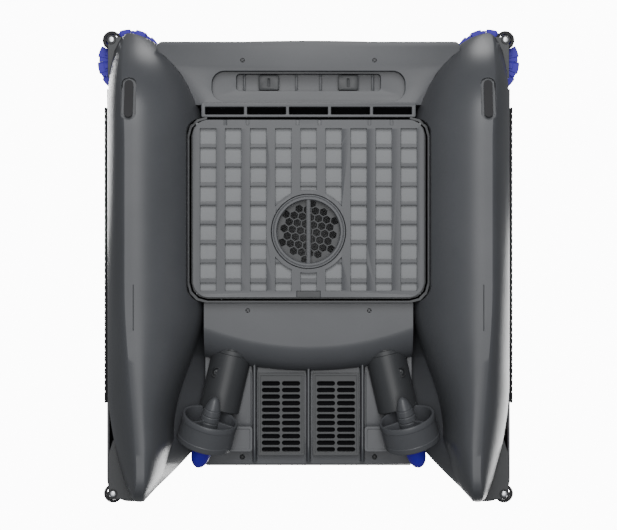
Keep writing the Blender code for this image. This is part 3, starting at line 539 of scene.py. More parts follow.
def keel(y):
    """The keel's distance from the middle of the skimmer, and its height."""
    bow = max((-120 - y) / (-120 - BOW_TIP[1]), 0)
    stern = max((y - 190) / (STERN_TIP[1] - 190), 0)
    x = KEEL_X + 8.3 * bow**1.5 - 11.5 * smoothstep((y - 20) / 190) + 7.0 * stern**3
    return x, (HULL_RIM - 8) * (bow**3.1 + stern**6)


def hull_section(y, grow, top, steps):
    """One section of the right hull, from the outer rim round the keel to the inner rim."""
    outer, inner = hull_edges(y)
    outer, inner = outer + grow, inner - grow
    bottom_x, low = keel(y)
    low -= grow
    land = min(KEEL_LAND, 0.15 * (outer - inner))
    chine = smoothstep((y - 40) / 128)
    reach = 1 - 0.54 * chine + 0.3 * smoothstep((y - 185) / 50)
    rise = 0.83 - 0.15 * chine
    height = HULL_RIM - low
    points = [(outer, top), (outer, HULL_RIM - 0.5)]
    for i in range(1, steps + 1):
        angle = math.pi / 2 * i / steps
        along = 1 - abs(math.cos(angle)) ** (2 / 1.5)
        down = 1 - math.sin(angle) ** (2 / 1.5)
        points.append((outer + (bottom_x + land - outer) * along, low + height * down))
    for i in range(steps + 1):
        angle = math.pi / 2 * i / steps
        along = reach * math.sin(angle) ** (2 / 1.95)
        up = rise * (1 - abs(math.cos(angle)) ** (2 / 1.95))
        points.append((bottom_x - land + (inner - bottom_x + land) * along, low + height * up))
    points += [(inner, HULL_RIM), (inner, top)]
    return [(x, y, z) for x, z in points]


def hull_solid(name, grow, top, stations, steps):
    front = BOW_TIP[1] + 0.6 - min(grow, 0) * 1.6
    back = STERN_TIP[1] - 0.6 + min(grow, 0) * 2.2
    places = [-math.cos(math.pi * i / stations) for i in range(stations + 1)]
    middle_y, half = (front + back) / 2, (back - front) / 2
    return loft(name, [hull_section(middle_y + half * p, grow, top, steps) for p in places])


def well_block(name, grow, low, high):
    outline = rounded(
        WELL_LOW[0] - grow,
        WELL_HIGH[0] + grow,
        WELL_LOW[1] - grow,
        WELL_HIGH[1] + grow,
        WELL_CORNER,
        12,
    )
    return prism(name, outline, low, high)


def mirrored(obj, name):
    """The same piece for the other side of the skimmer."""
    mesh = obj.data.copy()
    mesh.transform(Matrix.Scale(-1, 4, (1, 0, 0)))
    mesh.flip_normals()
    return link(bpy.data.objects.new(name, mesh))


def both_sides(obj, stem, look, slot, body, replaced=None, angle=32):
    """Finishes the right piece and its mirror image. body and replaced end in the side's name."""
    pieces = {"right": obj, "left": mirrored(obj, f"{stem}_left")}
    for word, piece in pieces.items():
        nodes = [f"{name}_{word}" for name in replaced or []]
        home = f"{body}_{word}" if body != "chassis" else body
        finish(piece, look, home, slot, *nodes, angle=angle)


def tilted_pad(name, half_x, half_y, low, high, steps=16):
    """A lozenge on the slope of the forefoot."""
    shape = prism(name, rounded(-half_x, half_x, -half_y, half_y, half_x - 0.05, steps), low, high)
    turn = Matrix.Rotation(-PAD_TILT, 4, "X")
    shape.data.transform(Matrix.Translation(Vector(PAD_AT) * MM) @ turn)
    return shape


def make_hulls():
    shell = hull_solid("hull_skin_right", 0, HULL_RIM, 110, 18)
    cavity = hull_solid("hull_cavity", -HULL_WALL, HULL_RIM + 4, 24, 6)
    boss = tilted_pad("pad_boss", 10, 25, -20, 6.3)
    cut(cavity, well_block("wall", GAP + HULL_WALL, -20, 320), boss)
    pocket = cylinder("roller_pocket", ROLLERS["front"], 10.6, 91.6, 120)
    groove = tilted_pad("pad_groove", 7.2, 22, -20, 3.5)
    seam = box("hatch_seam", (167.4, 19, -2), (168.1, 63, 2.2))
    cut(shell, well_block("well_room", GAP, 0, 300), cavity, pocket, groove, seam)
    both_sides(shell, "hull_skin", CHARCOAL, "charcoal", "chassis", ["pontoon_shell"], 24)

    pad = tilted_pad("keel_pad_soft_right", 6.7, 21.5, 0.4, 3.2)
    ring = cut(
        tilted_pad("rim", 6.7, 21.5, -0.05, 0.4), tilted_pad("inside", 5.2, 20, -1, 1)
    )
    pill = tilted_pad("pill", 4.1, 18.9, -0.35, 0.4)
    join(pad, ring, pill)
    bevelled(pad, 0.35)
    both_sides(pad, "keel_pad_soft", RUBBER, "bumper_rubber", "chassis", ["keel_pad"])


make_hulls()


# ---------------------------------------------------------- upper cover

MOUTH_HALF, MOUTH_HIGH = 100.0, 125.0
COVER_HALF, COVER_FRONT, COVER_REAR = 204.5, -222.0, 240.0
SHOULDER, SHOULDER_LOW = 60, 128
LIP_REACH, LIP_HALF = 8.0, 88
BRUSH_AT, BRUSH_R = (180.7, -206.0), 33.5
BRUSH_LOW, BRUSH_HIGH = 109.0, 124.0


def cover_ring(inset, height, grow):
    """The cover's outline at one height: a rectangle with round corners and a lip at the front."""
    half = COVER_HALF - inset + grow
    front, rear = COVER_FRONT + inset - grow, COVER_REAR - inset + grow
    front_r, rear_r = 33.5 + 0.2 * inset, 23.5 + 0.4 * inset
    points = arc((half - rear_r, rear - rear_r), rear_r, 0, 90, 14)
    points += arc((rear_r - half, rear - rear_r), rear_r, 90, 180, 14)
    points += arc((front_r - half, front + front_r), front_r, 180, 270, 14)
    lip = LIP_REACH * max(1 - inset / 30, 0)
    for i in range(1, 40):
        x = -108 + 216 * i / 40
        bulge = smoothstep((LIP_HALF - abs(x)) / 28) * (0.8 + 0.2 * (1 - (x / LIP_HALF) ** 2))
        points.append((x, front - lip * bulge))
    points += arc((half - front_r, front + front_r), front_r, 270, 360, 14)
    return [(x, y, height) for x, y in points]


def cover_solid(name, grow, low):
    rings = [cover_ring(1.0, low, grow), cover_ring(0, low + 2.5, grow)]
    rings.append(cover_ring(0, SHOULDER_LOW + grow, grow))
    for angle in (6, 12, 18, 25, 32, 40, 48, 56, 64, 72, 80, 86, 90):
        inset = SHOULDER * (1 - math.cos(math.radians(angle)))
        height = SHOULDER_LOW + (DECK - SHOULDER_LOW) * math.sin(math.radians(angle))
        rings.append(cover_ring(inset, height + grow, grow))
    return loft(name, rings)


def stern_notch(grow):
    half = [(103 - grow, 203 - grow), (109 - grow, 197 - grow), (109 - grow, 186 - grow)]
    half += [(119.7 + grow, 188.5 - grow), (166.5 + grow, 239.2), (172.0 + grow, 262.0)]
    return half + [(-x, y) for x, y in reversed(half)]


def make_cover():
    cover = cover_solid("deck_cover", 0, COVER_LOW[2])
    cavity = cover_solid("cavity", -2.6, COVER_LOW[2] - 6)
    cut(cavity, prism("inner_notch", stern_notch(2.6), 70, 270))
    mouth_low, mouth_high = (-MOUTH_HALF - 4, -250, 80), (MOUTH_HALF + 4, -150, MOUTH_HIGH + 3)
    notch = prism("notch", stern_notch(0), 80, 260)
    cut(cover, cavity, notch, box("mouth", mouth_low, mouth_high))
    cut(cover, well_block("opening", 0.6, 150, 300))
    for side in SIDES.values():
        at = (side * BRUSH_AT[0], BRUSH_AT[1])
        cut(cover, cylinder("brush_slot", at, BRUSH_R + 2.5, 100, BRUSH_HIGH + 2.2, 64))
    button = cylinder("button_hole", (60, -178), 9.4, 150, 260)
    light = cylinder("light_hole", (-60, -178), 4.4, 150, 260)
    port = box("port_hole", (-87, 190, 120), (-63, 215, 134))
    tray = prism("tray", rounded(-118, 118, 62, 186, 10), DECK - 1.2, DECK + 20)
    cut(cover, button, light, port, tray)
    # A shallow seam round the deck.
    seam = cut(
        prism("seam", rounded(-128, 128, -158, 198, 22), DECK - 0.7, DECK + 5),
        prism("seam_in", rounded(-127, 127, -157, 197, 21), DECK - 3, DECK + 9),
    )
    cut(cover, seam)
    finish(cover, CHARCOAL, "chassis", "charcoal", "top_cover", angle=24)


make_cover()


# ---------------------------------------------------------- side brushes and wall rollers


def sector(name, at, inner, outer, start, end, low, high, steps=6):
    """A flat piece of a ring between two angles."""
    outline = arc(at, outer, start, end, steps) + arc(at, inner, end, start, steps)
    return prism(name, outline, low, high)


def make_brush():
    """Twelve overlapping petals in two steps, with ribs between them and a capped hub."""
    at, low = BRUSH_AT, BRUSH_LOW
    brush = cylinder("side_brush_petals_right", at, BRUSH_R - 5.5, low + 2.5, BRUSH_HIGH - 2, 96)
    petals = []
    for i in range(12):
        start = 30 * i
        petals.append(
            sector("petal", at, 7, BRUSH_R, start + 1.2, start + 20, low + 1.2, low + 12.5)
        )
        petals.append(
            sector("step", at, 7, BRUSH_R - 1.3, start + 19.5, start + 28.6, low + 2.2, low + 13.5)
        )
        petals.append(sector("blade", at, 9, BRUSH_R - 6.5, start + 2, start + 15, low, low + 3))
        petals.append(
            sector("rib", at, 8, BRUSH_R - 0.6, start + 0.2, start + 1.6, low + 0.5, low + 13.9, 2)
        )
    petals.append(cylinder("hub", at, 9.5, low + 0.2, BRUSH_HIGH - 0.4))
    petals.append(cylinder("cap", at, 5.5, low - 0.2, BRUSH_HIGH - 4))
    join(brush, *petals)
    socket = cylinder("socket", at, 2.4, low + 4, 140, 24)
    cut(brush, socket)
    both_sides(brush, "side_brush_petals", BLUE, "blue_plastic", "side_brush", ["side_brush"])


def make_roller(end):
    """A wall roller: a tyre with a rounded tread, a rim, six spokes and a hub."""
    at = ROLLERS[end]
    low, high, radius = 92.1, 102.8, 9.4
    tread = [(7.3, low + 0.2), (8.4, low), (9.1, low + 0.7), (radius, low + 2.2)]
    tread += [(radius, high - 2.2), (9.1, high - 0.7), (8.4, high), (7.3, high - 0.2)]
    tyre = turned(f"roller_tyre_{end}_right", tread)
    stand(tyre, at)
    rim = [(6.4, low + 0.6), (7.35, low + 0.6), (7.35, high - 0.6), (6.4, high - 0.6)]
    wheel = turned("wheel", rim)
    stand(wheel, at)
    spokes = [
        sector("spoke", at, 2.8, 6.7, 60 * i - 7, 60 * i + 7, low + 1.4, high - 1.4, 2)
        for i in range(6)
    ]
    hub = turned("hub", [(2.35, low), (3.6, low), (3.9, low + 0.4), (3.9, high), (2.35, high)])
    stand(hub, at)
    join(wheel, hub, *spokes)
    wheel.name = f"roller_wheel_{end}_right"
    for piece, stem, look, slot, nodes in (
        (tyre, f"roller_tyre_{end}", RUBBER, "bumper_rubber", [f"wall_roller_{end}"]),
        (wheel, f"roller_wheel_{end}", BLACK, "dark_plastic", None),
    ):
        both_sides(piece, stem, look, slot, f"wall_roller_{end}", nodes)


def make_axle(end):
    """The steel axle with a domed head, on a ringed boss of the bracket."""
    at = ROLLERS[end]
    low = 88.5
    pin = [(0, 106), (2.0, 106), (2.0, low - 0.3), (3.0, low - 0.3), (3.0, low - 0.7)]
    pin += [(2.4, low - 1.0), (1.2, low - 1.15), (0, low - 1.15)]
    axle = turned(f"axle_{end}_right", pin, 40)
    stand(axle, at)
    both_sides(axle, f"axle_{end}", STEEL, "steel", "chassis", [f"roller_pin_{end}"])
    flat_ring = [(3.3, low), (4.9, low), (4.7, low - 0.7), (3.5, low - 0.7)]
    washer = turned(f"axle_ring_{end}_right", flat_ring)
    stand(washer, at)
    both_sides(washer, f"axle_ring_{end}", BLACK, "dark_plastic", "chassis")


make_brush()
for end_name in ROLLERS:
    make_roller(end_name)
    make_axle(end_name)


# ---------------------------------------------------------- thrusters

TOE_OUT, RISE = math.radians(15.4), math.radians(18.0)
DUCT_AT = (100.1, 163.0, 58.0)
DUCT_R, BORE_R, HALF_LONG = 28.0, 25.0, 14.0


def thruster_matrix():
    """Turns a shape drawn along +Z into the right thruster's direction and place."""
    flat = math.cos(RISE)
    aft = Vector((math.sin(TOE_OUT) * flat, math.cos(TOE_OUT) * flat, math.sin(RISE)))
    turn = Vector((0, 0, 1)).rotation_difference(aft).to_matrix().to_4x4()
    return Matrix.Translation(Vector(DUCT_AT) * MM) @ turn


THRUSTER = thruster_matrix()


def make_duct():
    """A flared ring on an arm, with three curved vanes that carry a ribbed nose cone."""
    half = HALF_LONG
    ring = [(BORE_R, 12.6), (BORE_R + 0.5, half - 0.4), (27, half), (27.7, half - 0.8)]
    ring += [(DUCT_R, 9.2), (DUCT_R, 8.4), (27.6, 8.0)]
    ring += [(27.6, -8.0), (DUCT_R, -8.4), (DUCT_R, -12.4)]
    ring += [(27.4, -half + 0.3), (26.4, -half), (BORE_R + 0.4, 0.4 - half), (BORE_R, 1.4 - half)]
    duct = turned("duct_ring_right", ring, 96, THRUSTER)
    arm = prism("arm", rounded(55.9, 84.0, 161, 186, 3), 75.5, 79)
    lip = cut(
        prism("arm_lip", rounded(55.9, 84.0, 161, 186, 3), 74.6, 76),
        prism("arm_well", rounded(58.4, 81.5, 163.5, 183.5, 2), 70, 77),
    )
    pylon = prism("pylon", rounded(93, 101, 156, 176, 3.8), 78, 89.6)
    join(arm, lip, pylon)
    cut(arm, turned("bore", [(0, 40), (26.5, 40), (26.5, -40), (0, -40)], 96, THRUSTER))
    join(duct, arm)
    nose = [(0, 2), (9.2, 2), (9.6, -6)]
    grooves = [(9.6, -10), (9.1, -10.4), (9.1, -11.2), (9.6, -11.6)]
    grooves += [(9.2, -16), (8.7, -16.4), (8.7, -17.2), (9.0, -17.6)]
    grooves += [(8.2, -22.5), (7.6, -22.9), (7.5, -23.7), (7.7, -24.1)]
    tip = [(6.4, -28.5), (4.9, -32), (3.1, -34.4), (1.4, -35.7), (0, -36)]
    hub = turned("hub", nose + grooves + tip, 48, THRUSTER)
    vanes = []
    for i in range(3):
        turn = Matrix.Rotation(math.radians(36 + 120 * i), 4, "Z")
        vane = prism("vane", rounded(5, 26.5, -1.2, 1.2, 1.1), -12, 1)
        vane.data.transform(THRUSTER @ turn)
        vanes.append(vane)
    join(hub, *vanes)
    cut(hub, turned("socket", [(0, 9), (7.4, 9), (7.4, -18), (0, -18)], 40, THRUSTER))
    join(duct, hub)
    both_sides(duct, "duct_ring", CHARCOAL, "charcoal", "chassis", ["thruster_duct"])


BLADE_OUTLINE = [(-1, 0), (-0.6, 0.75), (0, 1), (0.6, 0.7)]
BLADE_OUTLINE += [(1, 0), (0.6, -0.5), (0, -0.7), (-0.6, -0.5)]


def blade_sections():
    """A propeller blade, from root to tip: chord, twist and thickness change along it."""
    rings = []
    for i in range(9):
        t = i / 8
        reach = 7.5 + (BORE_R - 1.3 - 7.5) * t
        chord = (7.0 + 9.0 * math.sin(math.pi * (0.15 + 0.62 * t))) * (1 - 0.45 * t**6)
        twist = math.radians(58 - 34 * t)
        thick = 1.1 - 0.7 * t
        ring = []
        for along, up in BLADE_OUTLINE:
            across, lift = along * chord / 2, up * thick
            y = across * math.cos(twist) - lift * math.sin(twist)
            z = across * math.sin(twist) + lift * math.cos(twist) + 8.4
            ring.append((reach, y, z))
        rings.append(ring)
    return rings


def make_propeller():
    """A blunt glossy cone with three twisted blades."""
    cone = [(0, 41.5), (2.6, 41.0), (5.0, 39.3), (7.2, 36.2), (8.8, 31.8), (9.6, 27), (10.0, 21)]
    cone += [(10.1, 12), (10.0, 4.6), (9.7, 4.2), (1.9, 4.2), (1.9, 13), (0, 13)]
    propeller = turned("propeller_screw_right", cone, 64, THRUSTER)
    blades = []
    for i in range(3):
        blade = loft("blade", blade_sections())
        blade.data.transform(THRUSTER @ Matrix.Rotation(math.radians(120 * i), 4, "Z"))
        blades.append(blade)
    join(propeller, *blades)
    both_sides(propeller, "propeller_screw", BLUE, "blue_plastic", "propeller", ["propeller"])


make_duct()
make_propeller()


# ---------------------------------------------------------- thruster fairings, tail and grilles

TAIL_UNDER, TAIL_REAR = 90.0, 203.0
BRIDGE_Z, BRIDGE_FRONT = 61.0, 37.6


def tail_section(x, grow, top):
    """The side view at x: the cross box, its curved rear wall and the raised underside."""
    sag = 20 * (x / HULL_IN) ** 2
    edge, end = 80 - sag, 106 - 0.7 * sag
    points = [(BRIDGE_FRONT - grow, top), (BRIDGE_FRONT - grow, BRIDGE_Z - grow)]
    for i in range(19):
        angle = math.pi / 2 * i / 18
        y = edge + (end - edge) * math.sin(angle) ** 1.2
        z = BRIDGE_Z - grow + (TAIL_UNDER - BRIDGE_Z) * (1 - math.cos(angle))
        points.append((y + grow * 0.8, z))
    points += [(172 + grow, TAIL_UNDER - grow), (TAIL_REAR - 3 + grow, TAIL_UNDER + 3 - grow)]
    points += [(TAIL_REAR - 2 + grow, TAIL_UNDER + 8), (TAIL_REAR - 2 + grow, top)]
    return [(x, y, z) for y, z in points]


def tail_solid(name, half, grow, top, count):
    places = [half * (2 * i / count - 1) for i in range(count + 1)]
    return loft(name, [tail_section(x, grow, top) for x in places])


def fin(x):
    """A strake with a sharp lower edge, flared where it meets the cross box."""
    sections = []
    for i in range(25):
        y = 92 + (197.5 - 92) * i / 24
        flare = 3.4 * max(1 - (y - 92) / 22, 0) ** 2
        foot = 2.4 + flare
        low = 79 + 6 * max(y - 186, 0) / 11.5
        side = [(-foot, 91.2), (-1.7 - flare * 0.5, 86), (-1.3, low + 1.2), (-0.7, low)]
        ring = side + [(-a, z) for a, z in reversed(side)]
        sections.append([(x + a, y, z) for a, z in ring])
    return loft("fin", sections)


def slot_cutter(name, x_low, x_high, y_low, y_high, low, high, radius=2.2):
    return prism(name, rounded(x_low, x_high, y_low, y_high, radius, 6), low, high)


def make_tail():
    tail = tail_solid("tail_shell", HULL_IN - GAP, 0, 105.6, 44)
    cut(tail, tail_solid("cavity", 100.0, -2.6, 113.6, 20))
    join(tail, *[fin(x) for x in (-54, 0, 54)])
    for side in SIDES.values():
        x_low, x_high = sorted((side * 8.5, side * 46.5))
        cut(tail, box("window", (x_low, 112, 80), (x_high, 187, 100)))
        # The seam round the panel that each thruster fairing stands on.
        x_low, x_high = sorted((side * 57.5, side * 58.1))
        cut(tail, box("panel_seam", (x_low, 108, 80), (x_high, 198, 90.8)))
    finish(tail, CHARCOAL, "chassis", "charcoal", "tail_fairing", angle=26)
    grille = box("grille_plate_right", (4.5, 108.5, 87.05), (50.5, 191, 89.65))
    inside = box("in", (6.6, 111, 80), (48.4, 188.5, 90))
    frame_lip = cut(box("lip", (4.5, 108.5, 86.35), (50.5, 191, 88)), inside)
    join(grille, frame_lip)
    slots = slot_cutter("slot", 8.4, 26.6, 116.6, 121.1, 70, 110)
    cut(grille, repeated(slots, 2, 20.2, 11, 6.62))
    both_sides(grille, "grille_plate", SHADE, "charcoal", "chassis", ["intake_grille"])


def make_fairing():
    """The tapering nacelle in front of a thruster, with the panel seam."""
    toe = Matrix.Rotation(math.radians(-13), 4, "Z")
    lying = Matrix.Rotation(math.radians(90), 4, "X")
    place = Matrix.Translation(Vector((83, 116, 85.5)) * MM) @ toe @ lying
    radius = 20.0
    rounding = [math.radians(10 * i) for i in range(10)]
    skin = [(0, 41)]
    skin += [(radius - 3 + 3 * math.sin(a), 38 + 3 * math.cos(a)) for a in rounding]
    skin += [(radius, -29.2), (radius - 0.8, -30), (0, -30)]
    fairing = turned("nacelle_right", skin, 96, place)
    cut(fairing, tail_solid("room", 104.5, GAP, 125.6, 20))
    hollow = [(0, 39), (radius - 2.4, 39), (radius - 2.4, -27.6), (0, -27.6)]
    cut(fairing, turned("hollow", hollow, 48, place))
    grow = DUCT_R + GAP
    sweep = [(0, 30), (grow, 30), (grow, -HALF_LONG - GAP), (0, -HALF_LONG - GAP)]
    cut(fairing, turned("duct_room", sweep, 64, THRUSTER))
    for height in (31.0, 26.5):
        top, inner, outer = height + 0.6, radius - 0.7, radius + 2
        band = [(inner, height), (outer, height), (outer, top), (inner, top)]
        cut(fairing, turned("band", band, 96, place))
    both_sides(fairing, "nacelle", SHADE, "charcoal", "chassis", ["thruster_fairing"], angle=26)


def screw_head(name, at, low, reach, radius=3.1):
    """A pan-head screw with a cross recess, seen from below."""
    head = [(0, low), (radius - 1.1, low), (radius - 0.3, low + 0.45), (radius, low + 1.1)]
    head += [(radius, low + 1.8), (1.5, low + 1.8), (1.5, reach), (0, reach)]
    screw = turned(name, head, 40)
    turn = Matrix.Translation(Vector((at[0], at[1], 0)) * MM) @ Matrix.Rotation(0.6, 4, "Z")
    screw.data.transform(turn)
    for half_x, half_y in ((1.9, 0.42), (0.42, 1.9)):
        bit = box("bit", (-half_x, -half_y, low - 1), (half_x, half_y, low + 1.1))
        bit.data.transform(turn)
        cut(screw, bit)
    return screw


def make_screws():
    for label in ("front", "bridge", "tail"):
        low, high = span(f"screw_{label}_right")
        at = ((low[0] + high[0]) / 2, (low[1] + high[1]) / 2)
        radius = min((high[0] - low[0]) / 2, 3.4)
        screw = screw_head(f"screw_head_{label}_right", at, low[2], high[2], radius)
        stem = f"screw_head_{label}"
        both_sides(screw, stem, BLACK, "dark_plastic", "chassis", [f"screw_{label}"])


def make_nacelle_screws():
    """A screw in a dark counterbore on each nacelle."""
    at = (91.7, 106.8)
    collar = [(3.1, 68.6), (4.9, 67.4), (5.1, 68.4), (5.1, 72), (3.1, 72)]
    bore = turned("nacelle_bore_right", collar)
    stand(bore, at)
    both_sides(bore, "nacelle_bore", BLACK, "dark_plastic", "chassis")
    screw = screw_head("nacelle_screw_right", at, 67.9, 73, 2.9)
    both_sides(screw, "nacelle_screw", SHADE, "dark_plastic", "chassis")


make_tail()
make_fairing()
make_nacelle_screws()
make_screws()


# ---------------------------------------------------------- basket door, filter mesh and drain valve

COLUMNS, ROWS = 9, 8
PITCH_X, PITCH_Y = 24.7, 18.9
WINDOW_X, WINDOW_Y = 16.0, 15.5
FIRST_COLUMN, FIRST_ROW, SHORT_END = -98.8, -134.5, 25.4
VALVE_R, VALVE_BORE = 36.4, 31.2


def make_door():
    """A rounded frame with nine columns of windows. The bars across it are set deeper."""
    x_low, x_high = DOOR_LOW[0], DOOR_HIGH[0]
    y_low, y_high = DOOR_LOW[1], DOOR_HIGH[1]
    low, high = DOOR_LOW[2], DOOR_HIGH[2]
    door = prism("door_frame", rounded(x_low, x_high, y_low, y_high, 15.5, 14), low, high)
    left, right = FIRST_COLUMN - WINDOW_X / 2, FIRST_COLUMN + WINDOW_X / 2
    window = slot_cutter("window", left, right, FIRST_ROW, FIRST_ROW + WINDOW_Y, 40, 60, 0.9)
    short = slot_cutter("short_window", left, right, 17.4, SHORT_END, 40, 60, 0.9)
    cells = [repeated(window, COLUMNS, PITCH_X, ROWS, PITCH_Y), repeated(short, COLUMNS, PITCH_X)]
    valve = cylinder("valve_hole", (0, VALVE_Y), VALVE_R + 0.6, 40, 60, 96)
    rim = cylinder("valve_rim", (0, VALVE_Y), VALVE_R + 4.6, low, high, 96)
    strip = box("between", (left, FIRST_ROW, low - 1), (right, SHORT_END, low + 0.9))
    cut(door, repeated(strip, COLUMNS, PITCH_X))
    cut(door, *cells)
    join(door, rim)
    cut(door, valve)
    near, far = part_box("door_latch")
    room = box("latch_room", [c / MM - 0.3 for c in near], [c / MM + 0.3 for c in far])
    notches = []
    for x in (-81.8, -60, -10.8, 10.8, 60, 81.8):
        notches.append(box("clip", (x - 1.5, -150, 40), (x + 1.5, -137.6, low + 1.8)))
    cut(door, room, *notches)
    bevelled(door, 0.45, 2, 50)
    finish(door, CHARCOAL, "basket_door", "charcoal", "basket_door", angle=30)


def make_filter():
    """The woven filter behind the windows. It sags a little between the bars."""
    low, high = span("filter_mesh")
    level = (low[2] + high[2]) / 2
    builder = bmesh.new()
    columns, rows = 108, 84
    grid = []
    for j in range(rows + 1):
        line = []
        for i in range(columns + 1):
            x = low[0] + (high[0] - low[0]) * i / columns
            y = low[1] + (high[1] - low[1]) * j / rows
            u = math.cos(math.pi * (x - FIRST_COLUMN) / PITCH_X) ** 2
            v = math.cos(math.pi * (y - FIRST_ROW - WINDOW_Y / 2) / PITCH_Y) ** 2
            line.append(builder.verts.new((x * MM, y * MM, (level - 0.28 * u * v) * MM)))
        grid.append(line)
    for a, b in zip(grid, grid[1:]):
        for i in range(columns):
            corners = (a[i], a[i + 1], b[i + 1], b[i])
            centre = sum((c.co for c in corners), Vector()) / 4
            if (centre - Vector((0, VALVE_Y * MM, level * MM))).length > (VALVE_R + 2.2) * MM:
                builder.faces.new(corners)
    loose = [v for v in builder.verts if not v.link_faces]
    bmesh.ops.delete(builder, geom=loose, context="VERTS")
    cloth = object_from("filter_cloth", builder)
    finish(cloth, MESH, "basket_door", "filter_fabric", "filter_mesh", angle=180)
    return cloth


def hexagon(centre, flat):
    reach = flat / math.sqrt(3)
    tilt = 7.7
    return arc(centre, reach, 30 + tilt, 390 + tilt, 6)[:-1]


def make_valve():
    """The turning ring with its grooves and grip bar, over a honeycomb plate."""
    low, high = span("drain_ring")
    ring = [(VALVE_BORE, high[2]), (VALVE_R, high[2]), (VALVE_R, low[2] + 0.5)]
    ring += [(VALVE_R - 0.4, low[2]), (VALVE_R - 1.5, low[2]), (VALVE_R - 1.7, low[2] + 0.6)]
    ring += [(VALVE_R - 2.3, low[2] + 0.6), (VALVE_R - 2.5, low[2])]
    ring += [(VALVE_BORE + 0.6, low[2]), (VALVE_BORE, low[2] + 0.6)]
    piece = turned("valve_ring", ring, 96)
    piece.data.transform(Matrix.Translation((0, VALVE_Y * MM, 0)))
    bar = box("bar", (-0.7, VALVE_Y - 31.6, low[2] + 0.5), (0.7, VALVE_Y + 31.6, high[2]))
    web = box("web", (-1.9, VALVE_Y - 31.6, low[2] + 1.4), (1.9, VALVE_Y + 31.6, high[2]))
    join(piece, web, bar)
    finish(piece, CHARCOAL, "drain_ring", "charcoal", "drain_ring", angle=30)

    low, high = span("drain_grille")
    plate = cylinder("honeycomb", (0, VALVE_Y), (high[0] - low[0]) / 2, low[2], high[2], 96)
    pitch, flat = 8.1, 6.9
    turn = math.radians(7.7)
    cells = []
    for j in range(-4, 5):
        for i in range(-5, 6):
            u = (i + j / 2) * pitch
            v = j * pitch * math.sqrt(3) / 2
            x, y = u * math.cos(turn) - v * math.sin(turn), u * math.sin(turn) + v * math.cos(turn)
            if math.hypot(x, y) < VALVE_BORE - 2.0:
                cells.append(prism("cell", hexagon((x, y + VALVE_Y), flat), 30, 90))
    holes = bmesh.new()
    for cell in cells:
        holes.from_mesh(cell.data)
        bpy.data.objects.remove(cell)
    inside = cylinder("inside", (0, VALVE_Y), VALVE_BORE - 0.6, 20, 95, 96)
    cut_shape = boolean(object_from("cells", holes), [inside], "INTERSECT")
    cut(plate, cut_shape)
    finish(plate, SHADE, "basket_door", "dark_plastic", "drain_grille", angle=30)


make_door()
CLOTH = make_filter()
make_valve()
bpy.context.view_layer.update()


# ---------------------------------------------------------- front box, lid, handle and small parts


GATES, GATE_PITCH = 5, 41.55


def make_front():
    """The box under the mouth: a recess with lugs and ribs, and a frame with five dark slots."""
    shell = prism("front_shell", rounded(-150, 150, BOX_LOW[1], -158.6, 5, 8), 64, 88)
    slot_frame = prism("frame", rounded(-106, 106, -160.6, BOX_HIGH[1], 1.6, 5), 60, 88)
    cavity = box("cavity", (-98, BOX_LOW[1] + 3, 67), (98, -162, 100))
    bosses = [prism("boss", rounded(-99, 99, -195.5, -159.5, 15), 50, 77)]
    bosses.append(box("slot_boss", (-75, -193.5, 50), (75, -170.5, 86)))
    cut(cavity, *bosses)
    pocket = prism("pocket", rounded(-96, 96, -192.5, -162.5, 12.5, 12), 50, 74)
    slot = prism("deep", rounded(-72, 72, -190.5, -173.5, 3.5, 6), 50, 84)
    gate = slot_cutter("gate", -102.4, -63.8, -156.6, -148.8, 50, 80, 0.8)
    join(shell, slot_frame)
    right = hull_solid("near_right", GAP, HULL_RIM + 8, 40, 8)
    left = mirrored(right, "near_left")
    cut(shell, cavity, pocket, slot, repeated(gate, GATES, GATE_PITCH), right, left)
    bevelled(shell, 0.9, 3, 50)
    finish(shell, CHARCOAL, "chassis", "charcoal", "front_box", angle=30)
    lug = prism("recess_lug", rounded(-49.5, -29.5, -189.5, -174.5, 2.5, 6), 76.2, 84.2)
    slit = box("slit", (-40.4, -186, 70), (-38.6, -178, 78))
    cut(lug, slit)
    bevelled(lug, 0.5)
    finish(lug, SHADE, "chassis", "charcoal")
    finish(mirrored(lug, "recess_lug_far"), SHADE, "chassis", "charcoal")
    for i, x in enumerate((-64.0, -12.0, 12.0, 64.0)):
        rib = box(f"recess_rib_{i}", (x - 0.8, -190.4, 77.5), (x + 0.8, -173.6, 84.2))
        finish(bevelled(rib, 0.3), CHARCOAL, "chassis", "charcoal")
    # Near-black sheets in the five slots: painted shade for the dark inside behind them.
    for i in range(GATES):
        middle_x = GATE_PITCH * (i - (GATES - 1) / 2)
        corner = (middle_x - 19.2, -156.5, 76)
        shade_sheet = box(f"slot_shade_sheet_{i}", corner, (middle_x + 19.2, -148.9, 79.9))
        finish(bevelled(shade_sheet, 0.3), VOID, "chassis", "dark_plastic")
    # Near-black sheets behind the tail grille windows: painted shade for the dark inside.
    for word, side in SIDES.items():
        x_low, x_high = sorted((side * 5.2, side * 49.8))
        shade_sheet = box(f"grille_shade_sheet_{word}", (x_low, 112.2, 90.5), (x_high, 186.8, 92.0))
        cut(shade_sheet, box("trim", (-100, 0, 92.4), (100, 300, 99)))
        finish(shade_sheet, VOID, "chassis", "dark_plastic")


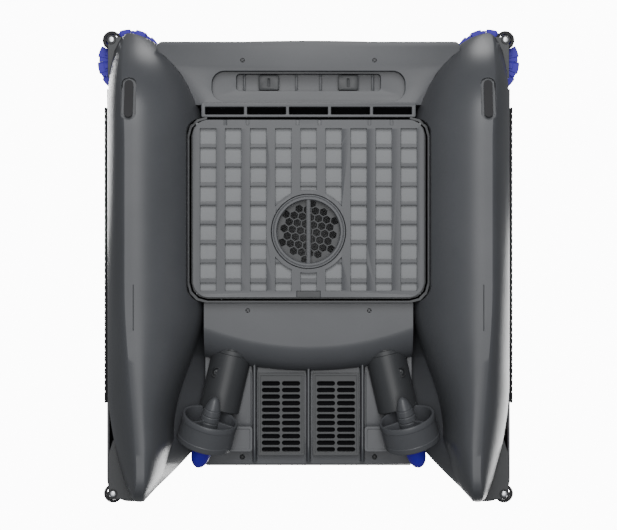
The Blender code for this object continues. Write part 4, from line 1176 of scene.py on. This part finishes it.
def make_lid():
    """The lid: a soft dome with a groove for the folded handle and seven vents."""
    low, high = span("basket_lid")
    half, front, rear = high[0], low[1], high[1]
    rings = []
    levels = [(0, -2.4), (0, 2.4), (0.4, 3.6), (1.6, 5.6), (3.4, 6.9)]
    levels += [(6, 8), (10, 8.9), (15, 9.7), (22, 10.4), (36, 10.45)]
    for inset, lift in levels:
        outline = rounded(
            -half + inset, half - inset, front + inset, rear - inset, 20 + inset / 3, 14
        )
        rings.append([(x, y, DECK + lift) for x, y in outline])
    lid = loft("lid_dome", rings)
    under = rounded(-half + 2.6, half - 2.6, front + 2.6, rear - 2.6, 18, 10)
    cut(lid, prism("under", under, DECK - 8, DECK + 5))
    grip = prism("grip", rounded(-82, 82, -129, -30, 6), DECK + 7.2, DECK + 20)
    cut(grip, prism("rest", rounded(-70, 70, -118, 20, 5), DECK + 2, DECK + 21))
    cut(lid, grip)
    ridge = prism("ridge", rounded(-46, 46, -96, -94.2, 0.85, 6), DECK + 9.4, DECK + 20)
    cut(lid, repeated(ridge, 1, 0, 7, 6.4))
    finish(lid, CHARCOAL, "basket_lid", "charcoal", "basket_lid", angle=28)


def make_handle():
    low, high = span("carry_handle")
    outline = rounded(low[0], high[0], low[1], high[1], 7, 10)
    handle = prism("grip_handle", outline, low[2], high[2])
    hole = prism("hole", rounded(-70.6, 70.6, -118.6, 20, 5), DECK, DECK + 30)
    cut(handle, hole)
    bevelled(handle, 2.4, 5, 50)
    finish(handle, BLACK, "carry_handle", "dark_plastic", "carry_handle", angle=40)
    grip = box("grip_sleeve", (-42, -128.7, low[2] + 0.4), (42, -118.3, high[2] + 0.3))
    grooves = box("groove", (-38, -130, low[2] - 1), (-37, -117, low[2] + 0.9))
    top_grooves = box("groove_top", (-38, -130, high[2] - 0.6), (-37, -117, high[2] + 2))
    bevelled(grip, 2.4, 5, 50)
    cut(grip, repeated(grooves, 16, 5), repeated(top_grooves, 16, 5))
    finish(grip, RUBBER, "carry_handle", "bumper_rubber", angle=40)


def inset_outline(low, high, inset, radius):
    return rounded(
        low[0] + inset, high[0] - inset, low[1] + inset, high[1] - inset, radius, 10
    )


def make_small_parts():
    """The power button with its symbol, the solar panel with its frame, and the side strips."""
    low, high = span("power_button")
    at = (middle("power_button")[0], middle("power_button")[1])
    radius = (high[0] - low[0]) / 2
    cap = [(0, low[2]), (radius, low[2]), (radius, high[2] - 1.2), (radius - 0.8, high[2] - 0.25)]
    cap += [(radius - 1.8, high[2]), (4.6, high[2] - 0.5), (0, high[2] - 0.7)]
    button = turned("power_cap", cap, 64)
    stand(button, at)
    symbol = sector("symbol", at, 2.3, 3.1, 120, 420, high[2] - 0.9, high[2] + 9, 20)
    bar_low = (at[0] - 0.4, at[1] + 1, high[2] - 0.9)
    bar = box("bar", bar_low, (at[0] + 0.4, at[1] + 3.9, high[2] + 9))
    cut(button, symbol, bar)
    finish(button, BLUE, "power_button", "blue_plastic", "power_button")
    low, high = span("solar_panel")
    border = cut(
        prism("solar_frame", inset_outline(low, high, 0, 9.6), low[2], high[2] + 0.5),
        prism("in", inset_outline(low, high, 4, 6.5), low[2] - 1, 300),
    )
    bevelled(border, 0.5, 3, 50)
    finish(border, BLACK, "chassis", "dark_plastic")
    glass = prism("solar_glass_pane", inset_outline(low, high, 3.8, 6.6), low[2], high[2])
    finish(bevelled(glass, 0.2, 2, 50), SOLAR, "chassis", "solar_glass", "solar_panel")
    strip_low, strip_high = span("side_strip_right")
    strip = prism(
        "bumper_strip_right",
        rounded(strip_low[0], strip_high[0], strip_low[1], strip_high[1], 1.0, 5),
        strip_low[2],
        strip_high[2],
    )
    rib_low = (strip_high[0] - 0.5, strip_low[1] + 6, 100)
    rib = box("rib", rib_low, (strip_high[0] + 3, strip_low[1] + 7.2, 130))
    cut(strip, repeated(rib, 1, 0, 48, 6.0))
    bevelled(strip, 0.4, 2, 50)
    both_sides(strip, "bumper_strip", RUBBER, "bumper_rubber", "chassis", ["side_strip"])


make_front()
make_lid()
make_handle()
make_small_parts()


# ---------------------------------------------------------- pieces carried over from the CAD

# SHADE below paints shade on the tub, the well, the brackets, the latch and the deck underside.
CARRIED = {
    "basket_tub": (SHADE, 0.6),
    "basket_well": (SHADE, 0.8),
    "battery_pack": (BLACK, 1.2),
    "brush_motor": (BLACK, 0.6),
    "charge_port_cover": (RUBBER, 0.6),
    "control_module": (BLACK, 1.0),
    "corner_bracket": (SHADE, 0.6),
    "door_latch": (SHADE, 0.5),
    "inlet_channel": (CHARCOAL, 0.8),
    "inlet_flap": (BLACK, 0.5),
    "pontoon_deck": (SHADE, 0.8),
    "status_light": (LENS, 0.4),
    "thruster_motor": (BLACK, 0.6),
}


def dress(node, look, width):
    """Rounds a CAD node's edges and gives it a material."""
    node.data.materials.clear()
    node.data.materials.append(look)
    modifier = node.modifiers.new("edge", "BEVEL")
    modifier.width = width * MM
    modifier.segments = 2
    modifier.limit_method = "ANGLE"
    modifier.angle_limit = math.radians(40)
    modifier.use_clamp_overlap = True
    node.data.shade_smooth()
    node.data.set_sharp_from_angle(angle=math.radians(34))


for name, node in sorted(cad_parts.items()):
    if not node.hide_render:
        stem = next(start for start in CARRIED if name.startswith(start))
        dress(node, *CARRIED[stem])
